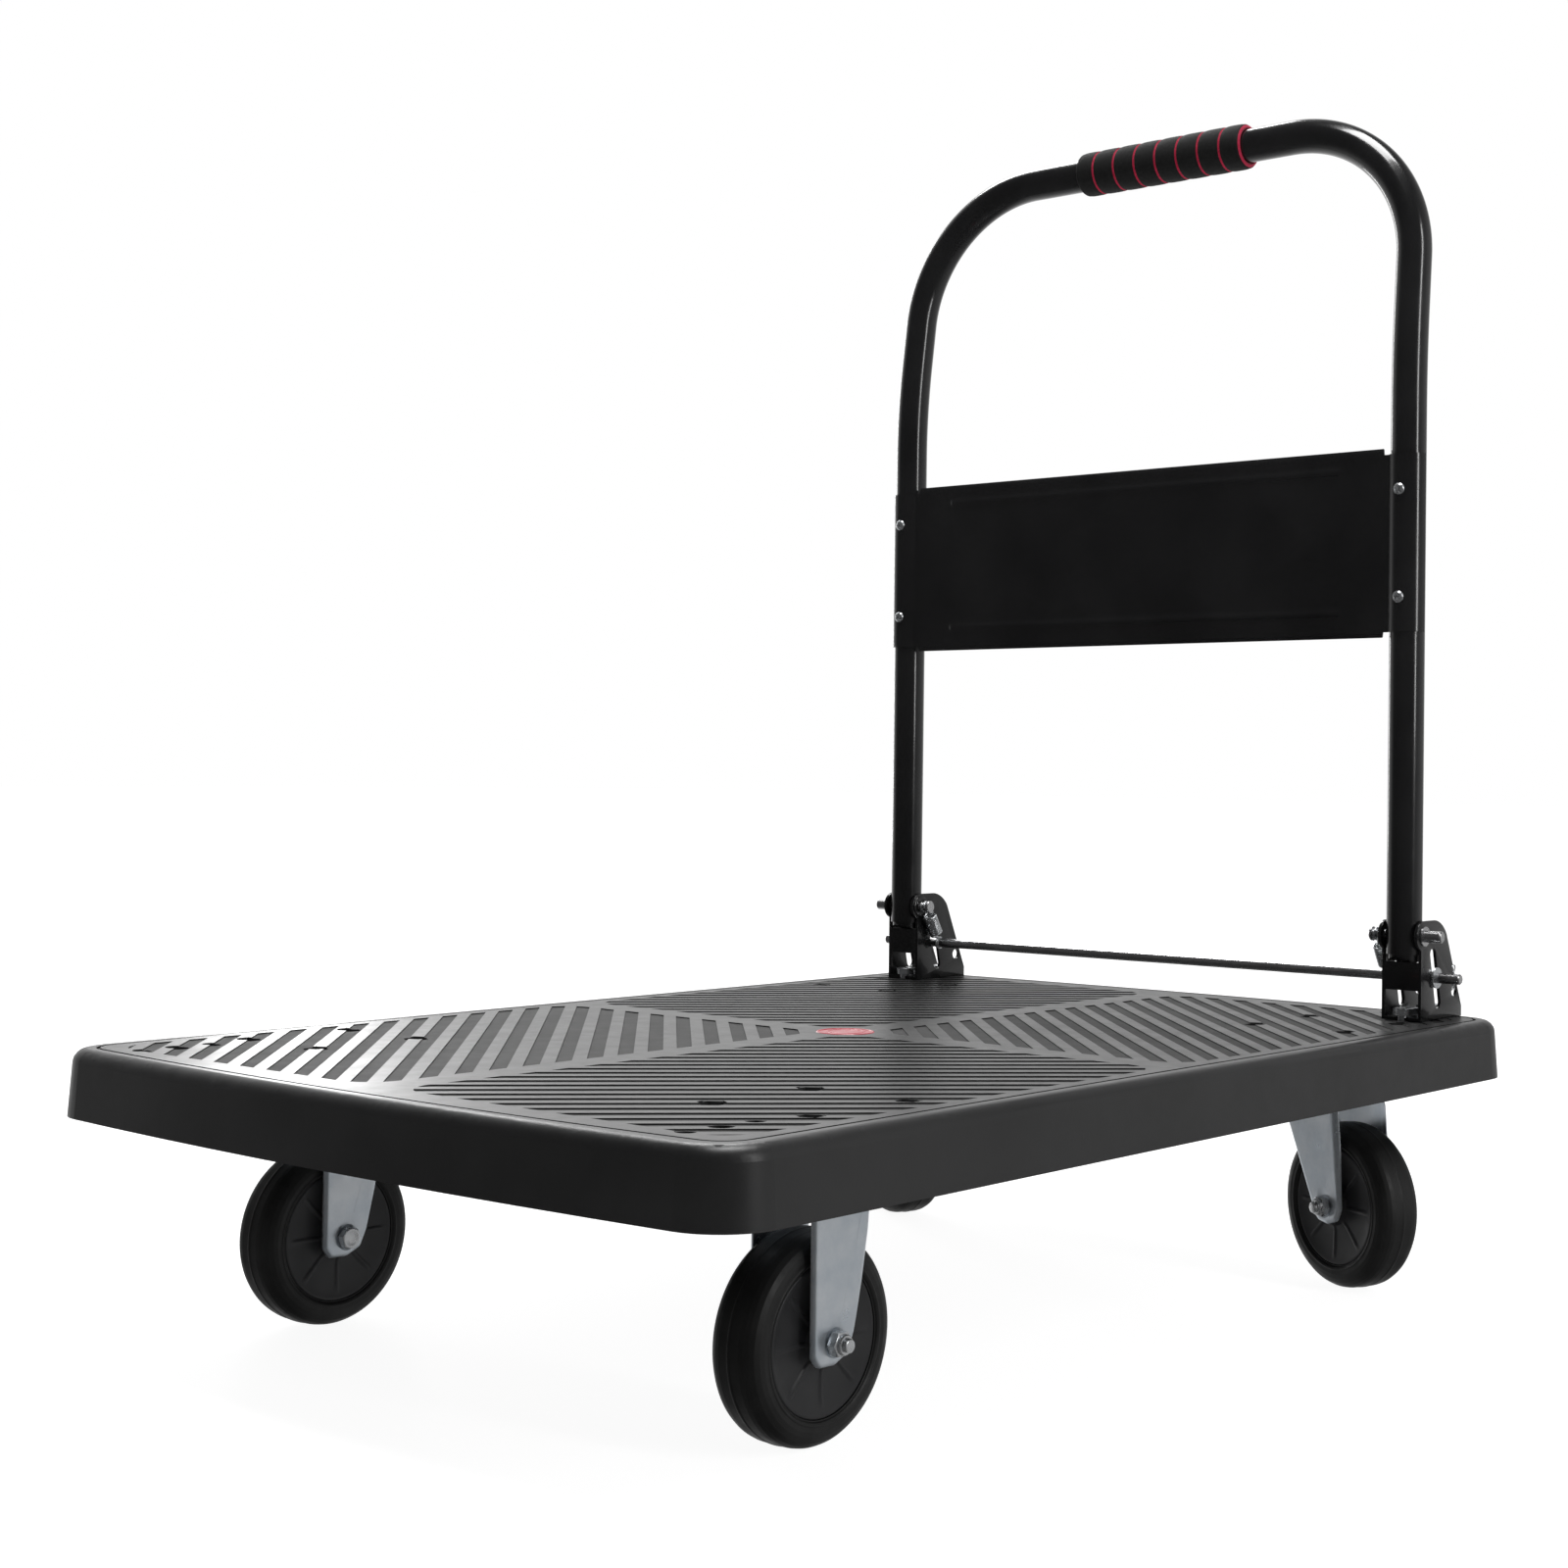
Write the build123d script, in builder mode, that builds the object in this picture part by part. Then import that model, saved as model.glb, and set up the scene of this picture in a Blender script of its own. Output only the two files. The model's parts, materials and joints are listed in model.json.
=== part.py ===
"""Folding platform cart: moulded deck on four casters with a fold-down push handle.

Frame: +X towards the handle end, +Y to the left when looking towards the handle,
+Z up, origin on the floor under the middle of the deck. Millimetres.
"""
from build123d import *
import math
import os

os.makedirs("parts", exist_ok=True)

# ------------------------------------------------------------------ driving dimensions
# deck
DECK_L = 900.0            # overall length, over the bowed ends
DECK_W = 604.0            # overall width at the foot of the skirt
DECK_H = 43.0             # height of the moulding
DECK_BOW = 13.0           # how far each short end bows outward
DECK_CORNER_R = 38.0
DECK_WALL = 5.0
DECK_TOP_T = 4.5
SKIRT_IN = 3.0            # how far the skirt leans in towards the top
LIP_R = 9.0               # rounding of the top edge
GROOVE_INSET = 16.0       # groove between the lip and the flat top
GROOVE_W = 2.4
GROOVE_D = 1.2
STRIPE_PITCH = 19.0
STRIPE_W = 10.0
STRIPE_D = 0.8
FIELD_INSET = 28.0        # striped field, measured in from the outline
BAND_HALF = 13.0          # half width of the plain bands between the four fields
BADGE_D = 42.0
# wheels and casters
WHEEL_D = 120.4
WHEEL_W = 35.5
HUB_R = 43.3
AXLE_D = 8.0
SLEEVE_D = 12.0
FRONT_AXLE_X = -DECK_L / 2 + 166.2
FRONT_PLATE_X = FRONT_AXLE_X + 4.3
KINGPIN_X = DECK_L / 2 - 147.0
CASTER_Y = DECK_W / 2 - 87.0
TRAIL = 30.0
TRAIL_ANGLE = 247.4       # plan direction from kingpin to wheel, as parked
PLATE_T = 3.5
PLATE_X = 104.0
PLATE_Y = 94.0
BOLTS_X = 82.0
BOLTS_Y = 73.0
FORK_IN = 21.5            # half the gap between the fork legs
FORK_T = 3.0
# handle
TUBE_D = 27.0
TUBE_WALL = 1.5
POST_X = DECK_L / 2 - 83.0
POST_Y = DECK_W / 2 - 57.0
LEAN_Z = 697.0            # where the posts start to lean back
TOP_X = POST_X + 22.5
TOP_Y = POST_Y - 4.0
TOP_Z = 888.4
LEAN_R = 700.0
TOP_R = 116.0
GRIP_D = TUBE_D + 10.0
GRIP_Y0 = -88.0
GRIP_Y1 = 74.0
PANEL_Z0 = 481.5
PANEL_Z1 = 626.5
PANEL_X = POST_X - 9.0
PANEL_T = 1.5
# brackets and lock
BRACKET_T = 2.5
BRACKET_HALF = TUBE_D / 2 + 0.5 + BRACKET_T       # half the outside width of a bracket
BRACKET_X0 = POST_X - 4.0
BRACKET_X1 = POST_X + 64.0
PIVOT_H = 64.5            # pivot height above the deck
PIN_D = 9.0
LOBE_R = 11.5
BAR_D = 8.0
BAR_X = POST_X + 19.6
BAR_H = 32.0
SLOT_W = 9.0
CLEAR = 0.08              # radial running clearance

# ------------------------------------------------------------------ derived positions
AXLE_Z = WHEEL_D / 2
PLATE_Z0 = WHEEL_D + 29.1
PLATE_Z1 = PLATE_Z0 + PLATE_T
DECK_Z0 = PLATE_Z1 - 6.0
DECK_Z1 = DECK_Z0 + DECK_H
PIVOT_Z = DECK_Z1 + PIVOT_H
BAR_Z = DECK_Z1 + BAR_H
FORK_OUT = FORK_IN + FORK_T
RECESS_D = 9.0
RECESS_AF = 15.4
BOLT_D = 8.0
HEAD_AF = 13.0
TRAIL_DIR = (math.cos(math.radians(TRAIL_ANGLE)), math.sin(math.radians(TRAIL_ANGLE)))
BRACKET_BOLTS = [BRACKET_X0 + 10.5, BRACKET_X1 - 19.0]
TIE_X = [-DECK_L / 2 + 43.0, -DECK_L / 2 + 69.0, -DECK_L / 2 + 95.0]
TIE_Y = DECK_W / 2 - 58.5
TIE_R = [6.0, 7.5, 6.0]


# ------------------------------------------------------------------ helpers
def outline(inset, corner):
    """Deck outline drawn a distance inside the foot of the skirt."""
    hl = DECK_L / 2 - DECK_BOW - inset
    mid = DECK_L / 2 - inset
    hw = DECK_W / 2 - inset
    with BuildSketch() as plan:
        with BuildLine():
            Line((-hl, -hw), (hl, -hw))
            ThreePointArc((hl, -hw), (mid, 0), (hl, hw))
            Line((hl, hw), (-hl, hw))
            ThreePointArc((-hl, hw), (-mid, 0), (-hl, -hw))
        make_face()
        fillet(plan.vertices(), radius=corner)
    return plan.sketch


def save(piece, name):
    piece.part.label = name
    export_step(piece.part, "parts/" + name + ".step")


def corners(cx, cy, dx, dy):
    return [(cx + sx * dx / 2, cy + sy * dy / 2) for sx in (-1, 1) for sy in (-1, 1)]


CASTER_SPOTS = []
for side in (-1, 1):
    CASTER_SPOTS.append((FRONT_PLATE_X, side * CASTER_Y))
    CASTER_SPOTS.append((KINGPIN_X, side * CASTER_Y))
CASTER_BOLTS = []
for cx, cy in CASTER_SPOTS:
    CASTER_BOLTS += corners(cx, cy, BOLTS_X, BOLTS_Y)
POST_BOLTS = [(x, side * POST_Y) for x in BRACKET_BOLTS for side in (-1, 1)]

# ------------------------------------------------------------------ deck
with BuildPart() as cavity:
    with BuildSketch(Plane.XY.offset(DECK_Z0 - 1)):
        add(outline(DECK_WALL, DECK_CORNER_R - DECK_WALL))
    with BuildSketch(Plane.XY.offset(DECK_Z1 - DECK_TOP_T)):
        add(outline(DECK_WALL + 3, DECK_CORNER_R - DECK_WALL - 3))
    loft()
    # stiffening ribs left standing under the top
    with BuildSketch(Plane.XY.offset(DECK_Z0 + 14)):
        with GridLocations(0, DECK_W / 6, 1, 5):
            Rectangle(DECK_L, 3)
        with GridLocations(DECK_L / 10, 0, 9, 1):
            Rectangle(3, DECK_W)
    extrude(amount=DECK_H, mode=Mode.SUBTRACT)
    # solid pads over the four casters, under the brackets and round the tie holes
    with BuildSketch(Plane.XY.offset(PLATE_Z1)):
        with Locations(*CASTER_SPOTS):
            RectangleRounded(PLATE_X + 8, PLATE_Y + 8, 6)
    extrude(amount=DECK_H, mode=Mode.SUBTRACT)
    with BuildSketch(Plane.XY.offset(DECK_Z1 - 24)):
        with Locations(((BRACKET_X0 + BRACKET_X1) / 2, POST_Y), ((BRACKET_X0 + BRACKET_X1) / 2, -POST_Y)):
            RectangleRounded(BRACKET_X1 - BRACKET_X0 + 8, 2 * BRACKET_HALF + 6, 5)
    extrude(amount=DECK_H, mode=Mode.SUBTRACT)
    with BuildSketch(Plane.XY.offset(DECK_Z1 - 16)):
        with Locations(*[(x, side * TIE_Y) for x in TIE_X for side in (-1, 1)]):
            Circle(12)
    extrude(amount=DECK_H, mode=Mode.SUBTRACT)

with BuildPart() as deck:
    with BuildSketch(Plane.XY.offset(DECK_Z0)):
        add(outline(0, DECK_CORNER_R))
    with BuildSketch(Plane.XY.offset(DECK_Z1)):
        add(outline(SKIRT_IN, DECK_CORNER_R - SKIRT_IN))
    loft()
    fillet(deck.edges().group_by(Axis.Z)[-1], radius=LIP_R)
    add(cavity.part, mode=Mode.SUBTRACT)
    # groove behind the rounded lip
    with BuildSketch(Plane.XY.offset(DECK_Z1)):
        add(outline(GROOVE_INSET, DECK_CORNER_R - GROOVE_INSET))
        add(outline(GROOVE_INSET + GROOVE_W, DECK_CORNER_R - GROOVE_INSET - GROOVE_W), mode=Mode.SUBTRACT)
    extrude(amount=-GROOVE_D, mode=Mode.SUBTRACT)
    # striped grip fields, one per quarter
    field_x = DECK_L / 2 - DECK_BOW - FIELD_INSET - BAND_HALF
    field_y = DECK_W / 2 - FIELD_INSET - BAND_HALF
    stripe_count = int((field_x + field_y + 2 * BAND_HALF) / math.sqrt(2) / STRIPE_PITCH) + 1
    for sx in (-1, 1):
        for sy in (-1, 1):
            with BuildSketch(Plane.XY.offset(DECK_Z1)):
                for k in range(1, stripe_count + 1):
                    reach = k * STRIPE_PITCH / math.sqrt(2)
                    with Locations(Location((sx * reach, sy * reach, 0), (0, 0, -45 * sx * sy))):
                        Rectangle(DECK_L * 1.3, STRIPE_W)
                with Locations((sx * (BAND_HALF + field_x / 2), sy * (BAND_HALF + field_y / 2))):
                    RectangleRounded(field_x, field_y, 26, mode=Mode.INTERSECT)
                Circle(BADGE_D / 2 + 12, mode=Mode.SUBTRACT)
            extrude(amount=-STRIPE_D, mode=Mode.SUBTRACT)
    # fine channel round the seat of each handle bracket
    with BuildSketch(Plane.XY.offset(DECK_Z1)):
        for side in (-1, 1):
            with Locations(((BRACKET_X0 + BRACKET_X1) / 2, side * POST_Y)):
                RectangleRounded(BRACKET_X1 - BRACKET_X0 + 3.4, 2 * BRACKET_HALF + 3.4, 2)
                RectangleRounded(BRACKET_X1 - BRACKET_X0 + 1, 2 * BRACKET_HALF + 1, 1, mode=Mode.SUBTRACT)
    extrude(amount=-0.6, mode=Mode.SUBTRACT)
    # badge seat
    with BuildSketch(Plane.XY.offset(DECK_Z1)):
        Circle(BADGE_D / 2)
    extrude(amount=-1.0, mode=Mode.SUBTRACT)
    # caster bolts: hexagon recess above, clearance hole below
    with BuildSketch(Plane.XY.offset(DECK_Z1)):
        with Locations(*CASTER_BOLTS):
            RegularPolygon(RECESS_AF / 2, 6, major_radius=False)
    extrude(amount=-RECESS_D, mode=Mode.SUBTRACT)
    with BuildSketch(Plane.XY.offset(DECK_Z1)):
        with Locations(*CASTER_BOLTS):
            Circle(BOLT_D / 2 + 0.2)
        with Locations(*POST_BOLTS):
            Circle(BOLT_D / 2 + 0.2)
    extrude(amount=-DECK_H, mode=Mode.SUBTRACT)
    # tie-down holes at the front corners
    for x, r in zip(TIE_X, TIE_R):
        with BuildSketch(Plane.XY.offset(DECK_Z1)):
            with Locations((x, TIE_Y), (x, -TIE_Y)):
                Circle(r)
        extrude(amount=-DECK_H, mode=Mode.SUBTRACT)
save(deck, "deck")

with BuildPart() as badge:
    with BuildSketch(Plane.XY.offset(DECK_Z1 - 1.0)):
        Circle(BADGE_D / 2 - 0.2)
    extrude(amount=1.4)
    fillet(badge.edges().group_by(Axis.Z)[-1], radius=0.6)
save(badge, "badge")


# ------------------------------------------------------------------ fasteners
def hex_bolts(spots, head_z, length):
    """Hexagon-head bolts standing at (x, y) spots, the head's underside at head_z."""
    with BuildSketch(Plane.XY.offset(head_z)) as flat:
        with Locations(*spots):
            RegularPolygon(HEAD_AF / 2, 6, major_radius=False)
    extrude(flat.sketch, amount=5.3)
    with BuildSketch(Plane.XY.offset(head_z)) as flat:
        with Locations(*spots):
            Circle(BOLT_D / 2)
    extrude(flat.sketch, amount=-length)


def ring_set(spots, z, outer, inner, height, hexagon=False):
    with BuildSketch(Plane.XY.offset(z)) as flat:
        with Locations(*spots):
            if hexagon:
                RegularPolygon(outer, 6, major_radius=False)
            else:
                Circle(outer)
            Circle(inner, mode=Mode.SUBTRACT)
    extrude(flat.sketch, amount=height)


RECESS_FLOOR = DECK_Z1 - RECESS_D
with BuildPart() as caster_bolts:
    hex_bolts(CASTER_BOLTS, RECESS_FLOOR, RECESS_FLOOR - PLATE_Z0 + 8.5)
save(caster_bolts, "caster_bolts")

with BuildPart() as caster_nuts:
    ring_set(CASTER_BOLTS, PLATE_Z0 - 6.5, HEAD_AF / 2, BOLT_D / 2, 6.5, hexagon=True)
save(caster_nuts, "caster_nuts")

BASE_TOP = DECK_Z1 + BRACKET_T
with BuildPart() as bracket_washers:
    ring_set(POST_BOLTS, BASE_TOP, 8.4, BOLT_D / 2, 1.5)
    ring_set(POST_BOLTS, DECK_Z1 - 24 - 1.6, 10.5, BOLT_D / 2, 1.6)
save(bracket_washers, "bracket_washers")

with BuildPart() as bracket_bolts:
    hex_bolts(POST_BOLTS, BASE_TOP + 1.5, BASE_TOP + 1.5 - (DECK_Z1 - 24) + 10.5)
save(bracket_bolts, "bracket_bolts")

with BuildPart() as bracket_nuts:
    ring_set(POST_BOLTS, DECK_Z1 - 24 - 1.6 - 7.0, HEAD_AF / 2, BOLT_D / 2, 7.0, hexagon=True)
save(bracket_nuts, "bracket_nuts")


# ------------------------------------------------------------------ handle brackets
SLOT_TOP = (BAR_X - 4.2, BAR_Z + 18.3)
SLOT_END = (BAR_X + 4.4, BAR_Z - 19.2)
SLOT_LEN = math.dist(SLOT_TOP, SLOT_END)
SLOT_ANGLE = math.degrees(math.atan2(SLOT_END[1] - SLOT_TOP[1], SLOT_END[0] - SLOT_TOP[0]))


def bracket_side_profile():
    """Side view of a bracket, drawn in (x, z)."""
    top = PIVOT_Z + LOBE_R
    foot = DECK_Z1
    with BuildSketch() as profile:
        with BuildLine():
            Polyline((BRACKET_X0, foot), (BRACKET_X0, PIVOT_Z), (POST_X, top), (BRACKET_X0 + 23, top))
            ThreePointArc((BRACKET_X0 + 23, top), (BRACKET_X0 + 34, top - 3.6), (BRACKET_X0 + 42, top - 11))
            Polyline((BRACKET_X0 + 42, top - 11), (BRACKET_X1, foot + 8), (BRACKET_X1, foot), (BRACKET_X0, foot))
        make_face()
        with Locations((POST_X, PIVOT_Z)):
            Circle(LOBE_R)
    return profile.sketch


def build_bracket(side):
    yc = side * POST_Y
    front = Plane(origin=(0, yc + BRACKET_HALF, 0), x_dir=(1, 0, 0), z_dir=(0, -1, 0))
    with BuildSketch(front) as flat:
        add(bracket_side_profile())
    extrude(flat.sketch, amount=2 * BRACKET_HALF)
    inner = BRACKET_HALF - BRACKET_T
    # channel between the side plates, above the base
    with BuildSketch(Plane(origin=(0, yc + inner, 0), x_dir=(1, 0, 0), z_dir=(0, -1, 0))) as flat:
        with Locations((BRACKET_X0 + BRACKET_T + 100, DECK_Z1 + BRACKET_T + 100)):
            Rectangle(200, 200)
        with Locations((BRACKET_X0 - 20, DECK_Z1 + 44.5 + 100)):
            Rectangle(60, 200)
        with Locations((BRACKET_X0, DECK_Z1 + (BRACKET_T + 23) / 2)):
            Rectangle(20, 23 - BRACKET_T)
    extrude(flat.sketch, amount=2 * inner, mode=Mode.SUBTRACT)
    # pivot hole, bar slot and small rear hole through both plates
    with BuildSketch(front) as flat:
        with Locations((POST_X, PIVOT_Z)):
            Circle(PIN_D / 2 + 0.03)
        with Locations((BRACKET_X1 - 12.7, DECK_Z1 + 20)):
            Circle(4.3)
        with Locations(Location(((SLOT_TOP[0] + SLOT_END[0]) / 2, (SLOT_TOP[1] + SLOT_END[1]) / 2, 0), (0, 0, SLOT_ANGLE))):
            SlotCenterToCenter(SLOT_LEN, SLOT_W)
    extrude(flat.sketch, amount=2 * BRACKET_HALF, mode=Mode.SUBTRACT)
    with BuildSketch(Plane.XY.offset(DECK_Z1)) as flat:
        with Locations(*[(x, yc) for x in BRACKET_BOLTS]):
            Circle(BOLT_D / 2)
    extrude(flat.sketch, amount=BRACKET_T, mode=Mode.SUBTRACT)


with BuildPart() as bracket_left:
    build_bracket(1)
save(bracket_left, "bracket_left")

with BuildPart() as bracket_right:
    build_bracket(-1)
save(bracket_right, "bracket_right")

# ------------------------------------------------------------------ pivot pins and clips
PIN_IN = BRACKET_HALF + 11.5        # inner end, from the post's middle
PIN_OUT = BRACKET_HALF + 15.5       # outer end
NECK = (BRACKET_HALF + 3.6, BRACKET_HALF + 9.0)
NECK_R = 3.5
CLIP_Y = BRACKET_HALF + 0.3


def lathe_y(profile, x, z, side):
    """Revolve (distance along y, radius) steps about an axis parallel to Y."""
    with BuildSketch(Plane(origin=(x, 0, z), x_dir=(0, side, 0), z_dir=(side, 0, 0))) as flat:
        Polygon(*profile, align=None)
    revolve(flat.sketch, axis=Axis((x, 0, z), (0, 1, 0)))


def build_pin(side):
    a = POST_Y - PIN_IN
    b = POST_Y - NECK[1]
    c = POST_Y - NECK[0]
    d = POST_Y + PIN_OUT
    r = PIN_D / 2
    clip0 = POST_Y + CLIP_Y
    clip1 = clip0 + 1.2
    steps = [(a, 0), (a, 5.0), (a + 0.6, 5.6), (b, 5.6), (b, NECK_R), (c, NECK_R), (c, r), (clip0, r)]
    steps += [(clip0, r - 0.8), (clip1, r - 0.8), (clip1, r), (d - 0.8, r), (d, r - 0.8), (d, 0)]
    lathe_y(steps, POST_X, PIVOT_Z, side)


with BuildPart() as pivot_pin_left:
    build_pin(1)
save(pivot_pin_left, "pivot_pin_left")

with BuildPart() as pivot_pin_right:
    build_pin(-1)
save(pivot_pin_right, "pivot_pin_right")

with BuildPart() as pin_clips:
    for side in (1, -1):
        near = POST_Y + CLIP_Y
        ring = [(near, PIN_D / 2 - 0.8), (near, PIN_D / 2 + 3), (near + 1.2, PIN_D / 2 + 3), (near + 1.2, PIN_D / 2 - 0.8)]
        lathe_y(ring, POST_X, PIVOT_Z, side)
save(pin_clips, "pin_clips")

# ------------------------------------------------------------------ lock bar
BAR_END = POST_Y + 37.5
COTTER_Y = BAR_END - 6.0
with BuildPart() as lock_bar:
    with BuildSketch(Plane(origin=(BAR_X, -BAR_END, BAR_Z), x_dir=(1, 0, 0), z_dir=(0, 1, 0))):
        Circle(BAR_D / 2)
    extrude(amount=2 * BAR_END)
    chamfer(lock_bar.edges().filter_by(GeomType.CIRCLE), length=0.8)
    with BuildSketch(Plane.XY.offset(BAR_Z + BAR_D)):
        with Locations((BAR_X, COTTER_Y), (BAR_X, -COTTER_Y)):
            Circle(1.3)
    extrude(amount=-2 * BAR_D, mode=Mode.SUBTRACT)
save(lock_bar, "lock_bar")

with BuildPart() as bar_cotters:
    for side in (1, -1):
        with BuildSketch(Plane.XY.offset(BAR_Z - 9)):
            with Locations((BAR_X, side * COTTER_Y)):
                Circle(1.25)
        extrude(amount=15)
        with BuildSketch(Plane(origin=(BAR_X, side * COTTER_Y - 1.25, BAR_Z + 8.4), x_dir=(1, 0, 0), z_dir=(0, 1, 0))):
            Circle(3.2)
            Circle(1.6, mode=Mode.SUBTRACT)
        extrude(amount=2.5)
save(bar_cotters, "bar_cotters")

with BuildPart() as bar_washers:
    for side in (1, -1):
        near = POST_Y + BRACKET_HALF + 0.4
        ring = [(near, BAR_D / 2), (near, 8.0), (near + 1.4, 8.0), (near + 1.4, BAR_D / 2)]
        lathe_y(ring, BAR_X, BAR_Z, side)
save(bar_washers, "bar_washers")

# ------------------------------------------------------------------ return springs
SPRING_Y = POST_Y - (NECK[0] + NECK[1]) / 2
SPRING_R = 6.3
WIRE = 1.8
SPRING_LEN = math.dist((POST_X, PIVOT_Z), (BAR_X, BAR_Z))
SPRING_DIR = ((BAR_X - POST_X) / SPRING_LEN, 0, (BAR_Z - PIVOT_Z) / SPRING_LEN)
TOP_EYE = NECK_R + WIRE / 2 + 0.1
LOW_EYE = BAR_D / 2 + WIRE / 2 + 0.1


def build_spring(side):
    """Closed-wound extension spring as a sleeve with an eye at each end."""
    y = side * SPRING_Y
    start = TOP_EYE + 4.5
    end = SPRING_LEN - LOW_EYE - 4.5

    def along(t):
        return (POST_X + SPRING_DIR[0] * t, y, PIVOT_Z + SPRING_DIR[2] * t)
    with BuildSketch(Plane(origin=along(start), x_dir=(0, 1, 0), z_dir=SPRING_DIR)) as flat:
        Circle(SPRING_R)
    extrude(flat.sketch, amount=end - start)
    with BuildSketch(Plane(origin=along(start + WIRE), x_dir=(0, 1, 0), z_dir=SPRING_DIR)) as flat:
        Circle(SPRING_R - WIRE)
    extrude(flat.sketch, amount=end - start - 2 * WIRE, mode=Mode.SUBTRACT)
    with BuildSketch(Plane(origin=along(TOP_EYE), x_dir=(0, 1, 0), z_dir=SPRING_DIR)) as flat:
        Circle(WIRE / 2)
    extrude(flat.sketch, amount=start - TOP_EYE + 0.3)
    with BuildSketch(Plane(origin=along(end - 0.3), x_dir=(0, 1, 0), z_dir=SPRING_DIR)) as flat:
        Circle(WIRE / 2)
    extrude(flat.sketch, amount=SPRING_LEN - LOW_EYE - end + 0.3)
    for x, z, eye in ((POST_X, PIVOT_Z, TOP_EYE), (BAR_X, BAR_Z, LOW_EYE)):
        with BuildSketch(Plane(origin=(x, y, z), x_dir=(1, 0, 0), z_dir=(0, 0, 1))) as flat:
            with Locations((eye, 0)):
                Circle(WIRE / 2)
        revolve(flat.sketch, axis=Axis((x, y, z), (0, 1, 0)))


with BuildPart() as spring_left:
    build_spring(1)
save(spring_left, "spring_left")

with BuildPart() as spring_right:
    build_spring(-1)
save(spring_right, "spring_right")

# ------------------------------------------------------------------ folding handle
TUBE_R = TUBE_D / 2
BORE_R = TUBE_R - TUBE_WALL
POST_FOOT = PIVOT_Z - 14.0
HANDLE_POINTS = [
    (POST_X, POST_Y, POST_FOOT),
    (POST_X, POST_Y, LEAN_Z),
    (TOP_X, TOP_Y, TOP_Z),
    (TOP_X, -TOP_Y, TOP_Z),
    (POST_X, -POST_Y, LEAN_Z),
    (POST_X, -POST_Y, POST_FOOT),
]
SCREW_Z = [PANEL_Z0 + 30.5, PANEL_Z1 - 32.5]
SCREW_R = 2.1
with BuildPart() as handle_tube:
    with BuildLine() as handle_path:
        FilletPolyline(*HANDLE_POINTS, radius=[LEAN_R, TOP_R, TOP_R, LEAN_R])
    with BuildSketch(Plane(origin=HANDLE_POINTS[0], z_dir=(0, 0, 1))):
        Circle(TUBE_R)
        Circle(BORE_R, mode=Mode.SUBTRACT)
    sweep(path=handle_path.wire())
    for side in (1, -1):
        with BuildSketch(Plane(origin=(POST_X, side * POST_Y - 20, PIVOT_Z), x_dir=(1, 0, 0), z_dir=(0, 1, 0))):
            Circle(PIN_D / 2 + CLEAR)
        extrude(amount=40, mode=Mode.SUBTRACT)
        for z in SCREW_Z:
            with BuildSketch(Plane(origin=(POST_X - 20, side * POST_Y, z), x_dir=(0, 1, 0), z_dir=(1, 0, 0))):
                Circle(SCREW_R)
            extrude(amount=20, mode=Mode.SUBTRACT)
save(handle_tube, "handle_tube")

HEEL_ARC = 19.8
HEEL_TIP = math.dist((POST_X, PIVOT_Z), (BAR_X, BAR_Z)) - BAR_D / 2 - 0.6


def build_heel(side):
    """Turned plug in the foot of the post with a stop tongue behind the bracket's web."""
    y = side * POST_Y
    with BuildSketch(Plane(origin=(POST_X, y, PIVOT_Z - HEEL_ARC), z_dir=(0, 0, 1))) as flat:
        Circle(BORE_R)
    extrude(flat.sketch, amount=46)
    # foot cut to an arc about the pivot, so that it swings clear of the bracket's web
    with BuildSketch(Plane(origin=(0, y + 20, 0), x_dir=(1, 0, 0), z_dir=(0, -1, 0))) as flat:
        with Locations((POST_X, PIVOT_Z - 20)):
            Rectangle(60, 40)
        with Locations((POST_X, PIVOT_Z)):
            Circle(HEEL_ARC, mode=Mode.SUBTRACT)
    extrude(flat.sketch, amount=40, mode=Mode.SUBTRACT)
    with BuildSketch(Plane(origin=(0, y + 6, 0), x_dir=(1, 0, 0), z_dir=(0, -1, 0))) as flat:
        with Locations((POST_X + 4.1, PIVOT_Z - HEEL_TIP / 2)):
            Rectangle(9.6, HEEL_TIP)
        with Locations((POST_X, PIVOT_Z)):
            Circle(HEEL_TIP, mode=Mode.INTERSECT)
    extrude(flat.sketch, amount=12)
    with BuildSketch(Plane(origin=(POST_X, y - 20, PIVOT_Z), x_dir=(1, 0, 0), z_dir=(0, 1, 0))) as flat:
        Circle(PIN_D / 2 + CLEAR)
    extrude(flat.sketch, amount=40, mode=Mode.SUBTRACT)


with BuildPart() as heel_left:
    build_heel(1)
save(heel_left, "heel_left")

with BuildPart() as heel_right:
    build_heel(-1)
save(heel_right, "heel_right")

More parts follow.
